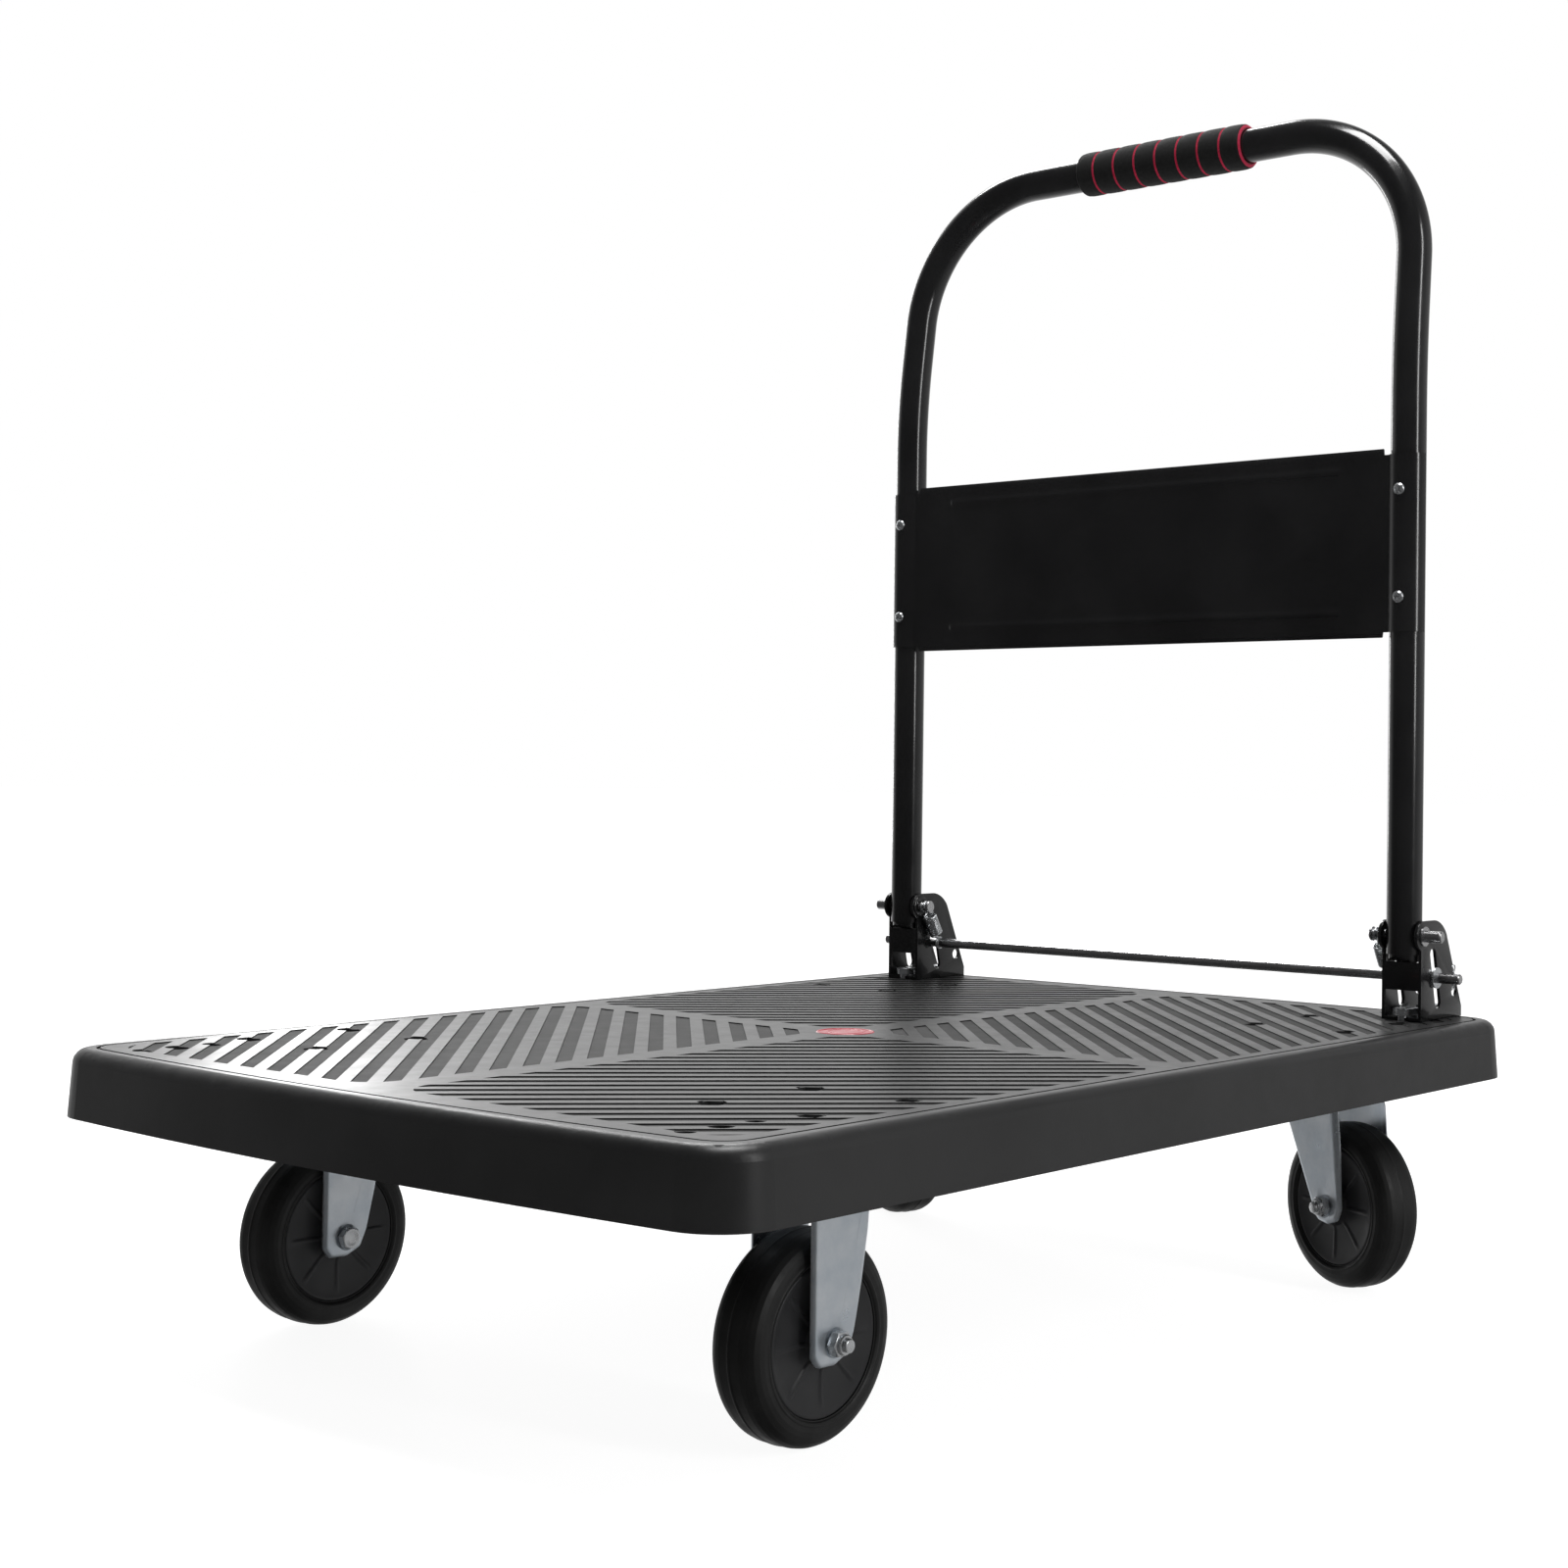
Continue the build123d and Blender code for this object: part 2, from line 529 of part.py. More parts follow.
# ------------------------------------------------------------------ panel between the posts
WRAP_IN = TUBE_R + 0.02
WRAP_OUT = WRAP_IN + PANEL_T
FLAT_HALF = POST_Y - WRAP_OUT - 2.0
BEAD_HALF = FLAT_HALF - 38.0
CHEVRON = [(0.52, 0.27), (0.75, 0.0), (0.35, -0.30), (0.25, -0.23)]
with BuildPart() as panel:
    with BuildSketch(Plane(origin=(PANEL_X, 0, (PANEL_Z0 + PANEL_Z1) / 2), x_dir=(0, 1, 0), z_dir=(1, 0, 0))):
        RectangleRounded(2 * FLAT_HALF, PANEL_Z1 - PANEL_Z0, 2)
    extrude(amount=PANEL_T)
    for side in (1, -1):
        with BuildSketch(Plane.XY.offset(PANEL_Z0 + 4)):
            with Locations((POST_X, side * POST_Y)):
                Circle(WRAP_OUT)
            with Locations((PANEL_X + PANEL_T + 30, side * (POST_Y - 25))):
                Rectangle(60, 50, mode=Mode.SUBTRACT)
            with Locations((POST_X + 29, side * POST_Y)):
                Rectangle(60, 60, mode=Mode.SUBTRACT)
            with Locations((PANEL_X + PANEL_T / 2, side * (POST_Y - WRAP_OUT))):
                Rectangle(PANEL_T, 9)
            with Locations((POST_X, side * POST_Y)):
                Circle(WRAP_IN, mode=Mode.SUBTRACT)
        extrude(amount=PANEL_Z1 - PANEL_Z0 - 9)
    # stamped beads and corner bracing
    mid_z = (PANEL_Z0 + PANEL_Z1) / 2
    with BuildSketch(Plane(origin=(PANEL_X, 0, mid_z), x_dir=(0, 1, 0), z_dir=(1, 0, 0))):
        half = (PANEL_Z1 - PANEL_Z0) / 2
        with Locations((0, half - 15.5), (0, 20.0 - half)):
            SlotOverall(2 * BEAD_HALF, 6)
    extrude(amount=-1.2)
    with BuildSketch(Plane(origin=(PANEL_X, 0, mid_z), x_dir=(0, 1, 0), z_dir=(1, 0, 0))):
        for side in (1, -1):
            run = [(side * u * FLAT_HALF, v * (PANEL_Z1 - PANEL_Z0)) for u, v in CHEVRON]
            for p, q in zip(run, run[1:]):
                turn = math.degrees(math.atan2(q[1] - p[1], q[0] - p[0]))
                with Locations(Location(((p[0] + q[0]) / 2, (p[1] + q[1]) / 2, 0), (0, 0, turn))):
                    SlotCenterToCenter(math.dist(p, q), 5)
    extrude(amount=-0.8)
    for side in (1, -1):
        for z in SCREW_Z:
            with BuildSketch(Plane(origin=(POST_X - 20, side * POST_Y, z), x_dir=(0, 1, 0), z_dir=(1, 0, 0))):
                Circle(SCREW_R)
            extrude(amount=16, mode=Mode.SUBTRACT)
save(panel, "panel")

with BuildPart() as panel_screws:
    for side in (1, -1):
        for z in SCREW_Z:
            with BuildSketch(Plane(origin=(POST_X - WRAP_OUT, side * POST_Y, z), x_dir=(0, 1, 0), z_dir=(-1, 0, 0))):
                Circle(4.6)
            extrude(amount=2.6, taper=12)
            with BuildSketch(Plane(origin=(POST_X - WRAP_OUT, side * POST_Y, z), x_dir=(0, 1, 0), z_dir=(1, 0, 0))):
                Circle(SCREW_R)
            extrude(amount=11)
            with BuildSketch(Plane(origin=(POST_X - WRAP_OUT - 2.6, side * POST_Y, z), x_dir=(0, 1, 0), z_dir=(1, 0, 0))):
                Rectangle(4.2, 1.1)
                Rectangle(1.1, 4.2)
            extrude(amount=1.5, mode=Mode.SUBTRACT)
save(panel_screws, "panel_screws")

# ------------------------------------------------------------------ foam grip
RING_PITCH = (GRIP_Y1 - GRIP_Y0) * 0.128
GRIP_MID = (GRIP_Y0 + GRIP_Y1) / 2
with BuildPart() as grip:
    with BuildSketch(Plane(origin=(TOP_X, GRIP_Y0, TOP_Z), x_dir=(1, 0, 0), z_dir=(0, 1, 0))):
        Circle(GRIP_D / 2)
    extrude(amount=GRIP_Y1 - GRIP_Y0)
    fillet(grip.edges().filter_by(GeomType.CIRCLE), radius=3.2)
    with BuildSketch(Plane(origin=(TOP_X, GRIP_Y0, TOP_Z), x_dir=(1, 0, 0), z_dir=(0, 1, 0))):
        Circle(TUBE_R)
    extrude(amount=GRIP_Y1 - GRIP_Y0, mode=Mode.SUBTRACT)
    for k in range(7):
        y = GRIP_MID + (k - 3) * RING_PITCH
        with BuildSketch(Plane(origin=(TOP_X, y - 0.9, TOP_Z), x_dir=(1, 0, 0), z_dir=(0, 1, 0))):
            Circle(GRIP_D / 2 + 2)
            Circle(GRIP_D / 2 - 0.9, mode=Mode.SUBTRACT)
        extrude(amount=1.8, mode=Mode.SUBTRACT)
save(grip, "grip")


# ------------------------------------------------------------------ casters
def leg_sketch(points, axle):
    """Side view of a fork leg in (along, up), with its axle hole."""
    Polygon(*points, align=None)
    with Locations(axle):
        Circle(AXLE_D / 2 + 0.03, mode=Mode.SUBTRACT)


def mount_plate(cx, cy):
    with BuildSketch(Plane.XY.offset(PLATE_Z0)) as flat:
        with Locations((cx, cy)):
            RectangleRounded(PLATE_X, PLATE_Y, 8)
        with Locations(*corners(cx, cy, BOLTS_X, BOLTS_Y)):
            Circle(BOLT_D / 2 + 0.1, mode=Mode.SUBTRACT)
    extrude(flat.sketch, amount=PLATE_T)


def build_front_fork(side):
    cy = side * CASTER_Y
    mount_plate(FRONT_PLATE_X, cy)
    ax, az = FRONT_AXLE_X, AXLE_Z
    top = PLATE_Z0 + 0.5
    points = [(ax - 18, top), (ax - 18, az - 6), (ax - 13, az - 12.5), (ax + 1, az - 13), (ax + 12, az - 8)]
    points += [(ax + 17, az + 3), (ax + 24, az + 30), (ax + 29, az + 58), (ax + 32, top)]
    for offset in (-FORK_OUT, FORK_IN):
        with BuildSketch(Plane(origin=(0, cy + offset, 0), x_dir=(1, 0, 0), z_dir=(0, -1, 0))) as flat:
            leg_sketch(points, (ax, az))
        extrude(flat.sketch, amount=-FORK_T)


with BuildPart() as front_fork_left:
    build_front_fork(1)
save(front_fork_left, "front_fork_left")

with BuildPart() as front_fork_right:
    build_front_fork(-1)
save(front_fork_right, "front_fork_right")

RACE_R = 28.0
RACE_Z0 = WHEEL_D + 15.5        # underside of the swivelling crown
CROWN_T = 4.0
BALL_Z = RACE_Z0 + CROWN_T
UPPER_Z = BALL_Z + 3.2
KING_R = 6.0


def build_swivel_plate(side):
    cx, cy = KINGPIN_X, side * CASTER_Y
    mount_plate(cx, cy)
    with BuildSketch(Plane.XY.offset(UPPER_Z)) as flat:
        with Locations((cx, cy)):
            Circle(RACE_R)
    extrude(flat.sketch, amount=PLATE_Z0 - UPPER_Z, taper=18)
    with BuildSketch(Plane.XY.offset(UPPER_Z)) as flat:
        with Locations((cx, cy)):
            Circle(KING_R)
    extrude(flat.sketch, amount=PLATE_Z1 - UPPER_Z, mode=Mode.SUBTRACT)


with BuildPart() as swivel_plate_left:
    build_swivel_plate(1)
save(swivel_plate_left, "swivel_plate_left")

with BuildPart() as swivel_plate_right:
    build_swivel_plate(-1)
save(swivel_plate_right, "swivel_plate_right")


def build_kingpin(side):
    cx, cy = KINGPIN_X, side * CASTER_Y
    low = RACE_Z0 - 4.2
    with BuildSketch(Plane.XY.offset(RACE_Z0 - 0.3)) as flat:
        with Locations((cx, cy)):
            Circle(KING_R)
    extrude(flat.sketch, amount=PLATE_Z1 - RACE_Z0 + 0.3)
    with BuildSketch(Plane.XY.offset(low)) as flat:
        with Locations((cx, cy)):
            Circle(10.5)
    extrude(flat.sketch, amount=RACE_Z0 - 0.3 - low)


with BuildPart() as kingpin_left:
    build_kingpin(1)
save(kingpin_left, "kingpin_left")

with BuildPart() as kingpin_right:
    build_kingpin(-1)
save(kingpin_right, "kingpin_right")


def wheel_spot(index):
    """Centre (x, y) of a wheel and the plan angle of its axle."""
    side = 1 if index in (0, 2) else -1
    if index < 2:
        return FRONT_AXLE_X, side * CASTER_Y, 90.0
    x = KINGPIN_X + TRAIL * TRAIL_DIR[0]
    y = side * CASTER_Y + TRAIL * TRAIL_DIR[1]
    return x, y, TRAIL_ANGLE - 90.0


def axle_plane(index, offset=0.0):
    """Plane across a wheel's axle: its x along the rolling direction, its y up."""
    x, y, angle = wheel_spot(index)
    ca, sa = math.cos(math.radians(angle)), math.sin(math.radians(angle))
    origin = (x + ca * offset, y + sa * offset, AXLE_Z)
    return Plane(origin=origin, x_dir=(-sa, ca, 0), z_dir=(ca, sa, 0))


def build_swivel_fork(side, index):
    cx, cy = KINGPIN_X, side * CASTER_Y
    up = RACE_Z0 - AXLE_Z
    # rolling direction of axle_plane is +x along the trail for these wheels
    points = [(-14, -4), (-9, -11.5), (2, -13), (13, -9), (17, 0), (15, 40), (11, up + 1), (-52, up + 1), (-47, up - 16)]
    for offset in (-FORK_OUT, FORK_IN):
        with BuildSketch(axle_plane(index, offset)) as flat:
            leg_sketch(points, (0, 0))
        extrude(flat.sketch, amount=FORK_T)
    with BuildSketch(Plane.XY.offset(RACE_Z0)) as flat:
        with Locations(Location((cx, cy, 0), (0, 0, TRAIL_ANGLE))):
            with Locations((TRAIL - 20.5, 0)):
                RectangleRounded(63, 2 * FORK_OUT, 4)
        with Locations((cx, cy)):
            Circle(RACE_R)
            Circle(KING_R + CLEAR, mode=Mode.SUBTRACT)
    extrude(flat.sketch, amount=CROWN_T)


with BuildPart() as swivel_fork_left:
    build_swivel_fork(1, 2)
save(swivel_fork_left, "swivel_fork_left")

with BuildPart() as swivel_fork_right:
    build_swivel_fork(-1, 3)
save(swivel_fork_right, "swivel_fork_right")


def build_ball_ring(side):
    with BuildSketch(Plane.XY.offset(BALL_Z)) as flat:
        with Locations((KINGPIN_X, side * CASTER_Y)):
            Circle(RACE_R - 2.0)
            Circle(KING_R + 5.0, mode=Mode.SUBTRACT)
    extrude(flat.sketch, amount=UPPER_Z - BALL_Z - 0.15)


with BuildPart() as ball_ring_left:
    build_ball_ring(1)
save(ball_ring_left, "ball_ring_left")

with BuildPart() as ball_ring_right:
    build_ball_ring(-1)
save(ball_ring_right, "ball_ring_right")


HEAD_SIDE = (-1, 1, 1, -1)      # which way each axle bolt's head points along its axle


def axle_bolt(index):
    """Head outside one fork leg, thread out of the other."""
    way = HEAD_SIDE[index]
    with BuildSketch(axle_plane(index, way * FORK_OUT)) as flat:
        RegularPolygon(HEAD_AF / 2, 6, major_radius=False)
    extrude(flat.sketch, amount=way * 5.3)
    with BuildSketch(axle_plane(index, way * FORK_OUT)) as flat:
        Circle(AXLE_D / 2)
    extrude(flat.sketch, amount=-way * (2 * FORK_OUT + 11.0))


def axle_nut(index):
    way = -HEAD_SIDE[index]
    with BuildSketch(axle_plane(index, way * FORK_OUT)) as flat:
        RegularPolygon(HEAD_AF / 2, 6, major_radius=False)
        Circle(AXLE_D / 2, mode=Mode.SUBTRACT)
    extrude(flat.sketch, amount=way * 6.0)
    with BuildSketch(axle_plane(index, way * (FORK_OUT + 6.0))) as flat:
        Circle(HEAD_AF / 2 - 0.7)
        Circle(AXLE_D / 2, mode=Mode.SUBTRACT)
    extrude(flat.sketch, amount=way * 2.4)


def axle_sleeve(index):
    with BuildSketch(axle_plane(index, -FORK_IN)) as flat:
        Circle(SLEEVE_D / 2)
        Circle(AXLE_D / 2, mode=Mode.SUBTRACT)
    extrude(flat.sketch, amount=2 * FORK_IN)


with BuildPart() as front_axle_bolts:
    axle_bolt(0)
    axle_bolt(1)
save(front_axle_bolts, "front_axle_bolts")

with BuildPart() as front_axle_nuts:
    axle_nut(0)
    axle_nut(1)
save(front_axle_nuts, "front_axle_nuts")

with BuildPart() as front_axle_sleeves:
    axle_sleeve(0)
    axle_sleeve(1)
save(front_axle_sleeves, "front_axle_sleeves")

for index, name in ((2, "left"), (3, "right")):
    with BuildPart() as rear_axle_bolt:
        axle_bolt(index)
    save(rear_axle_bolt, "rear_axle_bolt_" + name)
    with BuildPart() as rear_axle_nut:
        axle_nut(index)
    save(rear_axle_nut, "rear_axle_nut_" + name)
    with BuildPart() as rear_axle_sleeve:
        axle_sleeve(index)
    save(rear_axle_sleeve, "rear_axle_sleeve_" + name)


# ------------------------------------------------------------------ wheels
def spin(index, points):
    """Revolve (along the axle, radius) points about a wheel's axle."""
    x, y, angle = wheel_spot(index)
    ca, sa = math.cos(math.radians(angle)), math.sin(math.radians(angle))
    with BuildSketch(Plane(origin=(x, y, AXLE_Z), x_dir=(ca, sa, 0), z_dir=(sa, -ca, 0))) as flat:
        Polygon(*points, align=None)
    revolve(flat.sketch, axis=Axis((x, y, AXLE_Z), (ca, sa, 0)))


def build_hub(index):
    bore = SLEEVE_D / 2 + CLEAR
    rim = WHEEL_W / 2 - 1.2
    boss = FORK_IN - 0.8
    web = 14.2
    half = [(boss, bore), (boss, 12.5), (boss - 3, 14.5), (web, 16), (web + 1.5, HUB_R - 6), (rim, HUB_R - 4), (rim, HUB_R - 0.2)]
    points = half + [(-u, r) for u, r in reversed(half)]
    spin(index, points)
    # shallow ribs on both faces
    for face in (1, -1):
        with BuildSketch(axle_plane(index, face * (web - 0.5))) as flat:
            with PolarLocations(25.5, 8, 22.5):
                Rectangle(21, 2.0)
        extrude(flat.sketch, amount=face * 1.3)


def build_tyre(index):
    r = WHEEL_D / 2
    w = WHEEL_W / 2
    half = [(w - 1.0, HUB_R - 0.2), (w, HUB_R + 1.5), (w, r - 9), (w - 1.6, r - 4.2), (w - 5, r - 1.2), (w - 9, r - 0.1), (4, r)]
    points = half + [(-u, v) for u, v in reversed(half)]
    spin(index, points)


WHEEL_NAMES = ["front_left", "front_right", "rear_left", "rear_right"]
for index, name in enumerate(WHEEL_NAMES):
    with BuildPart() as hub:
        build_hub(index)
    save(hub, "hub_" + name)
    with BuildPart() as tyre:
        build_tyre(index)
    save(tyre, "tyre_" + name)
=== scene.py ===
"""Looks of the folding platform cart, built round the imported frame. Lengths here are in millimetres
until a mesh is made, where they become metres. +X is the handle end, +Y is left, +Z is up."""

import bmesh
import bpy
import json
import math
from mathutils import Matrix, Vector


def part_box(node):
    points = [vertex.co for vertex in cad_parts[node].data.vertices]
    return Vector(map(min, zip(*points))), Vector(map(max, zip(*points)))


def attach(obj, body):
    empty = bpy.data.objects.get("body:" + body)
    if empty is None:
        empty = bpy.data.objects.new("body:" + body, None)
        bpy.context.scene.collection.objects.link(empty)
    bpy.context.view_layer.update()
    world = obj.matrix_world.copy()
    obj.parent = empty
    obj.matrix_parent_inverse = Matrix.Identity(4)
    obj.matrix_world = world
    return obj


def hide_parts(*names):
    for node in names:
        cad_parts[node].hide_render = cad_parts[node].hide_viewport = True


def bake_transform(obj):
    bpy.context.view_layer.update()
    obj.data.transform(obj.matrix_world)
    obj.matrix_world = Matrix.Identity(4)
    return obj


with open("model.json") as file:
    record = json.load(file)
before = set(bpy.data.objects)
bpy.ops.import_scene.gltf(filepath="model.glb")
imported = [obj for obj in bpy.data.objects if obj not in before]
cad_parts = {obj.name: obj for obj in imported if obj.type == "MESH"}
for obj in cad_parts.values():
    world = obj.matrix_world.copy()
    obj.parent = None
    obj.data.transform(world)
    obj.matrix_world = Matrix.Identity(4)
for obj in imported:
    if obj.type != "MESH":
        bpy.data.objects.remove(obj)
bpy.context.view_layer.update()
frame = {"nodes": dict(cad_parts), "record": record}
NODES = frame["nodes"]
JOINTS = {j["name"]: j for j in frame["record"]["behaviour"]["joints"]}
MM = 0.001
TAU = 2 * math.pi


# ------------------------------------------------------------------ measures read from the frame
def span(node):
    low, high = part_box(node)
    return low / MM, high / MM


def middle(node):
    low, high = span(node)
    return (low + high) / 2


def spot(joint):
    return Vector(JOINTS[joint]["pos_m"]) / MM


DECK_HI = span("deck")[1]
DECK_TOP = DECK_HI.z
TUBE_LO, TUBE_HI = span("handle_tube")
BAR = middle("lock_bar")
PIVOT = spot("handle_fold")
PANEL_LO, PANEL_HI = span("panel")
GRIP_LO, GRIP_HI = span("grip")
TUBE_R = 13.5
TUBE_WALL = 1.5
POST_Y = TUBE_HI.y - TUBE_R


# ------------------------------------------------------------------ mesh helpers
def rounded(points, radius, steps=4, closed=True):
    """Rounds the corners of a 2-D outline."""
    out = []
    count = len(points)
    for i, here in enumerate(points):
        here = Vector(here)
        if not closed and i in (0, count - 1):
            out.append(tuple(here))
            continue
        before = Vector(points[i - 1]) - here
        after = Vector(points[(i + 1) % count]) - here
        angle = before.angle(after)
        if angle > math.radians(176):
            out.append(tuple(here))
            continue
        reach = min(radius / math.tan(angle / 2), before.length * 0.48, after.length * 0.48)
        arc_r = reach * math.tan(angle / 2)
        centre = here + (before.normalized() + after.normalized()).normalized() * arc_r / math.sin(angle / 2)
        start = here + before.normalized() * reach - centre
        end = here + after.normalized() * reach - centre
        for k in range(steps + 1):
            mix = start.lerp(end, k / steps)
            out.append(tuple(centre + mix.normalized() * arc_r))
    return out


def quads(bm, rows, wrap=False, material=0):
    """Skins a list of vertex rows; wrap joins each row's last vertex to its first."""
    for low, high in zip(rows, rows[1:]):
        count = max(len(low), len(high))
        for i in range(count if wrap else count - 1):
            j = (i + 1) % count
            corner = [low[i % len(low)], low[j % len(low)], high[j % len(high)], high[i % len(high)]]
            unique = list(dict.fromkeys(corner))
            if len(unique) > 2:
                bm.faces.new(unique).material_index = material


def lathe(bm, profile, place, segments=64, closed=True, material=0):
    """Turns (radius, along) points about the local Z of place."""
    rows = []
    for r, z in profile:
        if r < 1e-6:
            rows.append([bm.verts.new(place @ Vector((0, 0, z)))])
            continue
        ring = []
        for k in range(segments):
            a = TAU * k / segments
            ring.append(bm.verts.new(place @ Vector((r * math.cos(a), r * math.sin(a), z))))
        rows.append(ring)
    if closed:
        rows.append(rows[0])
    for low, high in zip(rows, rows[1:]):
        if len(low) > 1 or len(high) > 1:
            quads(bm, [low, high], wrap=True, material=material)


def transported(points):
    """A frame (across, up) at each point of a path, turned as little as possible."""
    count = len(points)
    frames = []
    across = None
    for i in range(count):
        tangent = (points[min(i + 1, count - 1)] - points[max(i - 1, 0)]).normalized()
        if across is None:
            across = tangent.orthogonal().normalized()
        across = (across - tangent * across.dot(tangent)).normalized()
        frames.append((across.copy(), tangent.cross(across)))
    return frames


def rod(bm, points, radius, segments=12, ends=True, material=0):
    """Sweeps a round section along points, with domed ends."""
    points = [Vector(p) for p in points]
    frames = transported(points)
    rows = []
    for p, (across, up) in zip(points, frames):
        ring = []
        for k in range(segments):
            a = TAU * k / segments
            ring.append(bm.verts.new(p + (across * math.cos(a) + up * math.sin(a)) * radius))
        rows.append(ring)
    if ends:
        for first in (True, False):
            p, (across, up) = (points[0], frames[0]) if first else (points[-1], frames[-1])
            away = (points[0] - points[1]) if first else (points[-1] - points[-2])
            away.normalize()
            cap = []
            for share, lift in ((0.75, 0.45), (0.4, 0.6)):
                ring = []
                for k in range(segments):
                    a = TAU * k / segments
                    at = p + (across * math.cos(a) + up * math.sin(a)) * radius * share + away * radius * lift
                    ring.append(bm.verts.new(at))
                cap.append(ring)
            cap.append([bm.verts.new(p + away * radius * 0.66)])
            rows = cap[::-1] + rows if first else rows + cap
    quads(bm, rows, wrap=True, material=material)


def hexagon(bm, place, across_flats, height, up_chamfer=True, down_chamfer=False, bore=0.0, dish=0.0):
    """Hexagon head or nut body standing on local z = 0, its corners turned off."""
    rings = []
    count = 72
    flat = across_flats / 2

    def reach(k):
        a = TAU * k / count
        return flat / math.cos((a + math.pi / 6) % (math.pi / 3) - math.pi / 6)

    def ring(radius_at, z_at):
        line = []
        for k in range(count):
            a = TAU * k / count
            r = radius_at(k)
            line.append(bm.verts.new(place @ Vector((r * math.cos(a), r * math.sin(a), z_at(k)))))
        return line
    turned = flat * 0.95
    slope = math.tan(math.radians(28))
    if bore:
        rings.append(ring(lambda k: bore, lambda k: 0.0))
    else:
        rings.append([bm.verts.new(place @ Vector((0, 0, 0)))])
    if down_chamfer:
        rings.append(ring(lambda k: turned, lambda k: 0.0))
        rings.append(ring(reach, lambda k: (reach(k) - turned) * slope))
    else:
        rings.append(ring(reach, lambda k: 0.0))
    if up_chamfer:
        rings.append(ring(reach, lambda k: height - (reach(k) - turned) * slope))
        rings.append(ring(lambda k: turned, lambda k: height))
    else:
        rings.append(ring(reach, lambda k: height))
    if dish:
        rings.append(ring(lambda k: turned * 0.82, lambda k: height))
        rings.append(ring(lambda k: turned * 0.7, lambda k: height - dish))
    if bore:
        rings.append(ring(lambda k: bore, lambda k: height))
        rings.append(rings[0])
    else:
        rings.append([bm.verts.new(place @ Vector((0, 0, height - dish)))])
    quads(bm, rings, wrap=True)


def thread(bm, place, radius, z0, z1, pitch=1.25, depth=0.55, segments=32):
    """Helical thread between two heights with a chamfered end at z1."""
    rows = []
    way = 1 if z1 > z0 else -1
    steps = max(2, int(abs(z1 - z0) / pitch * 6))
    for i in range(steps + 1):
        z = z0 + (z1 - z0) * i / steps
        row = []
        for k in range(segments):
            a = TAU * k / segments
            phase = (z / pitch - k / segments) % 1.0
            r = radius - depth * abs(2 * phase - 1) - (0.5 if i == steps else 0)
            row.append(bm.verts.new(place @ Vector((r * math.cos(a), r * math.sin(a), z))))
        rows.append(row)
    rows.insert(0, [bm.verts.new(place @ Vector((0, 0, z0)))])
    rows.append([bm.verts.new(place @ Vector((0, 0, z1 + way * 0.15)))])
    quads(bm, rows, wrap=True)


def facing(origin, direction, roll=0.0):
    """Matrix that sends local +Z to direction."""
    turn = Vector(direction).to_track_quat("Z", "Y").to_matrix().to_4x4()
    return Matrix.Translation(Vector(origin)) @ turn @ Matrix.Rotation(roll, 4, "Z")


def piece(name, bm, body, materials, stands_for=(), sharp=32.0, ride=True):
    """Turns a bmesh in millimetres into a finished object."""
    bmesh.ops.remove_doubles(bm, verts=bm.verts, dist=1e-4)
    bmesh.ops.recalc_face_normals(bm, faces=bm.faces)
    limit = math.radians(sharp)
    for edge in bm.edges:
        edge.smooth = len(edge.link_faces) != 2 or edge.calc_face_angle() < limit
    for face in bm.faces:
        face.smooth = True
    bmesh.ops.scale(bm, vec=(MM, MM, MM), verts=bm.verts)
    mesh = bpy.data.meshes.new(name)
    bm.to_mesh(mesh)
    bm.free()
    for mat in materials:
        mesh.materials.append(mat)
    obj = bpy.data.objects.new(name, mesh)
    bpy.context.scene.collection.objects.link(obj)
    if ride:
        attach(obj, body)
    if stands_for:
        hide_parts(*stands_for)
    return obj


